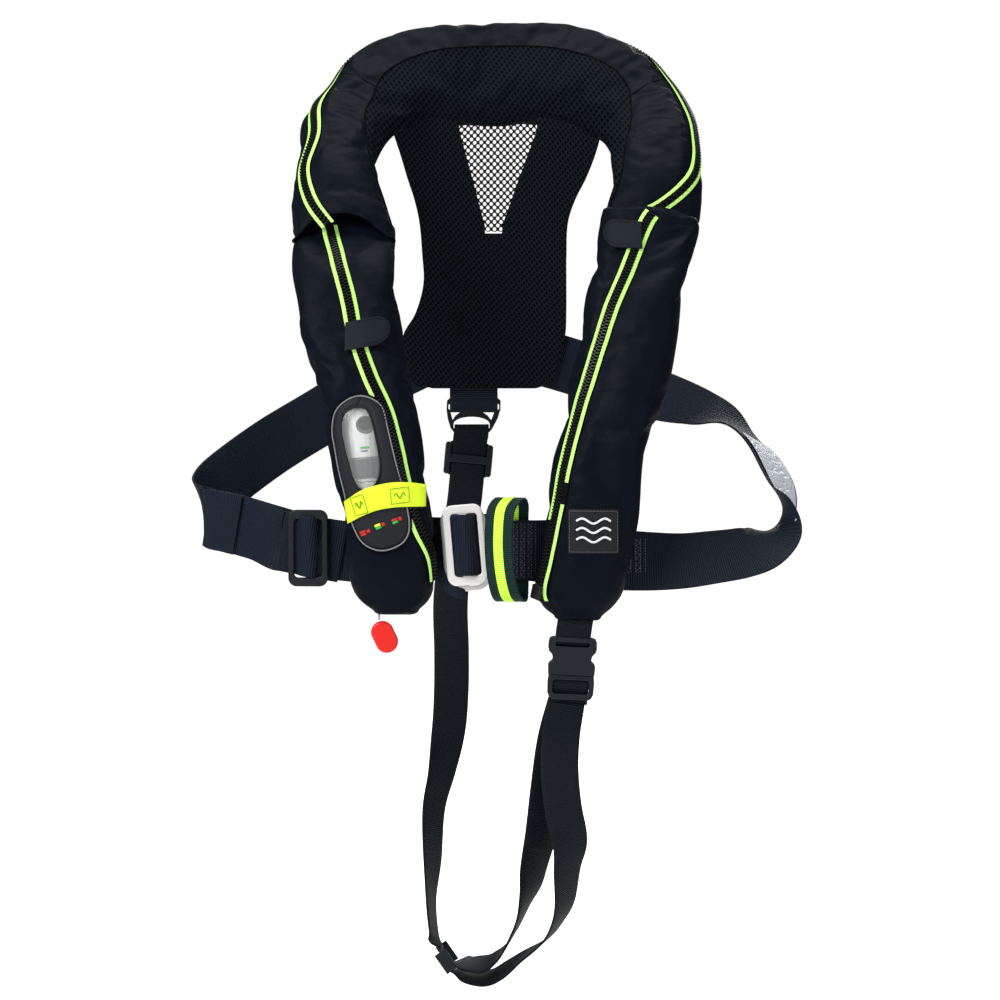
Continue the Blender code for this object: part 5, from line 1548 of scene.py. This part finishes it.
def three_bar_slider():
    """The rear strap's slider: a plate with two openings, round sides, and a bar in front of them."""
    def at(depth):
        return frame_at(-26.4, 44.2 - depth, -290.5, tilt=5.2)

    back = [rounded_box(43, 32, 9), rounded_box(30.5, 10, 2, (0, 7.6)), rounded_box(30.5, 10, 2, (0, -7.6))]
    plate("rear_slider_back", back, 2.2, PLASTIC, at(-2.4), edge=0.8, replaces=["rear_slider"])
    for side in (-1, 1):
        rail = [rounded_box(5.4, 29, 2.7, (side * 18.7, 0))]
        plate(f"rear_slider_side_{side}", rail, 6.6, PLASTIC, at(0), edge=1.4, slot="plastic")
    plate("rear_slider_bar", [rounded_box(39, 7, 2.4)], 2.2, PLASTIC, at(2.5), edge=0.8, slot="plastic")


three_bar_slider()

# The looks of the CAD nodes that are shown as they are.
LOOKS = {
    "gas_cylinder": PAINT, "inflator_body": WHITE, "sensor_cap": WHITE, "warning_ring": GREY,
    "firing_lever": RED, "lever_pin": STEEL, "oral_tube": PLASTIC, "oral_tube_cap": PLASTIC,
    "whistle": YELLOW, "rear_reducer": PLASTIC, "crotch_adjuster": PLASTIC, "left_latch": PLASTIC,
    "right_latch": PLASTIC, "zip_slider": TEETH, "collar_bladder": BLADDER, "left_bladder": BLADDER,
    "right_bladder": BLADDER,
}
for node, look in LOOKS.items():
    obj = bpy.data.objects[node]
    for slot in obj.material_slots:
        slot.material = look


# ---------------------------------------------------------------- toggle and its cord

toggle = plate("toggle_grip", [rounded_box(18.6, 27, 9.2, steps=24)], 7, RED,
               frame_at(-92.5, -200, -430.6, tilt=-25), "toggle", 2.2, ["pull_toggle"])
route = even(LANYARD, 2.5)
cord = tube("lanyard_cord", route, 0.9, CORD, "toggle", ["lanyard"])
round(lengths_along(route)[-1] * MM, 4)


# ---------------------------------------------------------------- light and floor

def light(name, place, aim, size, power):
    data = bpy.data.lights.new(name, "AREA")
    data.shape = "RECTANGLE"
    data.size, data.size_y = size
    data.energy = power
    obj = bpy.data.objects.new(name, data)
    bpy.context.scene.collection.objects.link(obj)
    obj.location = place
    obj.rotation_euler = (Vector(aim) - Vector(place)).to_track_quat("-Z", "Y").to_euler()


def camera_share(tree):
    """One for what the camera sees itself, and none for what the light bounces off."""
    return tree.nodes.new("ShaderNodeLightPath").outputs["Is Camera Ray"]


# How bright the surround lights the scene, and where the floor is.
AMBIENT = 0.16
FLOOR_HEIGHT, FLOOR_RADIUS = -0.748, 12


def studio():
    """A pale floor that runs into a white surround, under soft lights."""
    world = bpy.data.worlds.new("Studio")
    bpy.context.scene.world = world
    world.use_nodes = True
    tree = world.node_tree
    background = tree.nodes["Background"]
    background.inputs["Color"].default_value = (1, 1, 1, 1)
    strength = tree.nodes.new("ShaderNodeMapRange")
    strength.inputs["To Min"].default_value = AMBIENT
    strength.inputs["To Max"].default_value = 1.0
    tree.links.new(camera_share(tree), strength.inputs["Value"])
    tree.links.new(strength.outputs[0], background.inputs["Strength"])
    middle = (0, -0.1, -0.3)
    light("Key", (-1.5, -1.9, 1.2), middle, (1.3, 1.3), 62)
    light("Fill", (1.7, -2.2, 0.3), middle, (1.6, 1.6), 16)
    light("Top", (0, 0.1, 1.8), middle, (1.6, 1.2), 26)
    light("Back", (0.4, 1.9, 0.9), middle, (1.6, 1.2), 26)
    bpy.ops.mesh.primitive_circle_add(vertices=64, radius=FLOOR_RADIUS, fill_type="NGON",
                                      location=(0, 0, FLOOR_HEIGHT))
    floor = bpy.context.object
    floor.name = "Floor"
    pale = Look("Floor", (0.94, 0.94, 0.94), 0.9)
    pale.shader.inputs["Emission Color"].default_value = (1, 1, 1, 1)
    pale.tree.links.new(camera_share(pale.tree), pale.shader.inputs["Emission Strength"])
    floor.data.materials.append(pale.material)
    bpy.context.scene.view_settings.view_transform = "Standard"


studio()
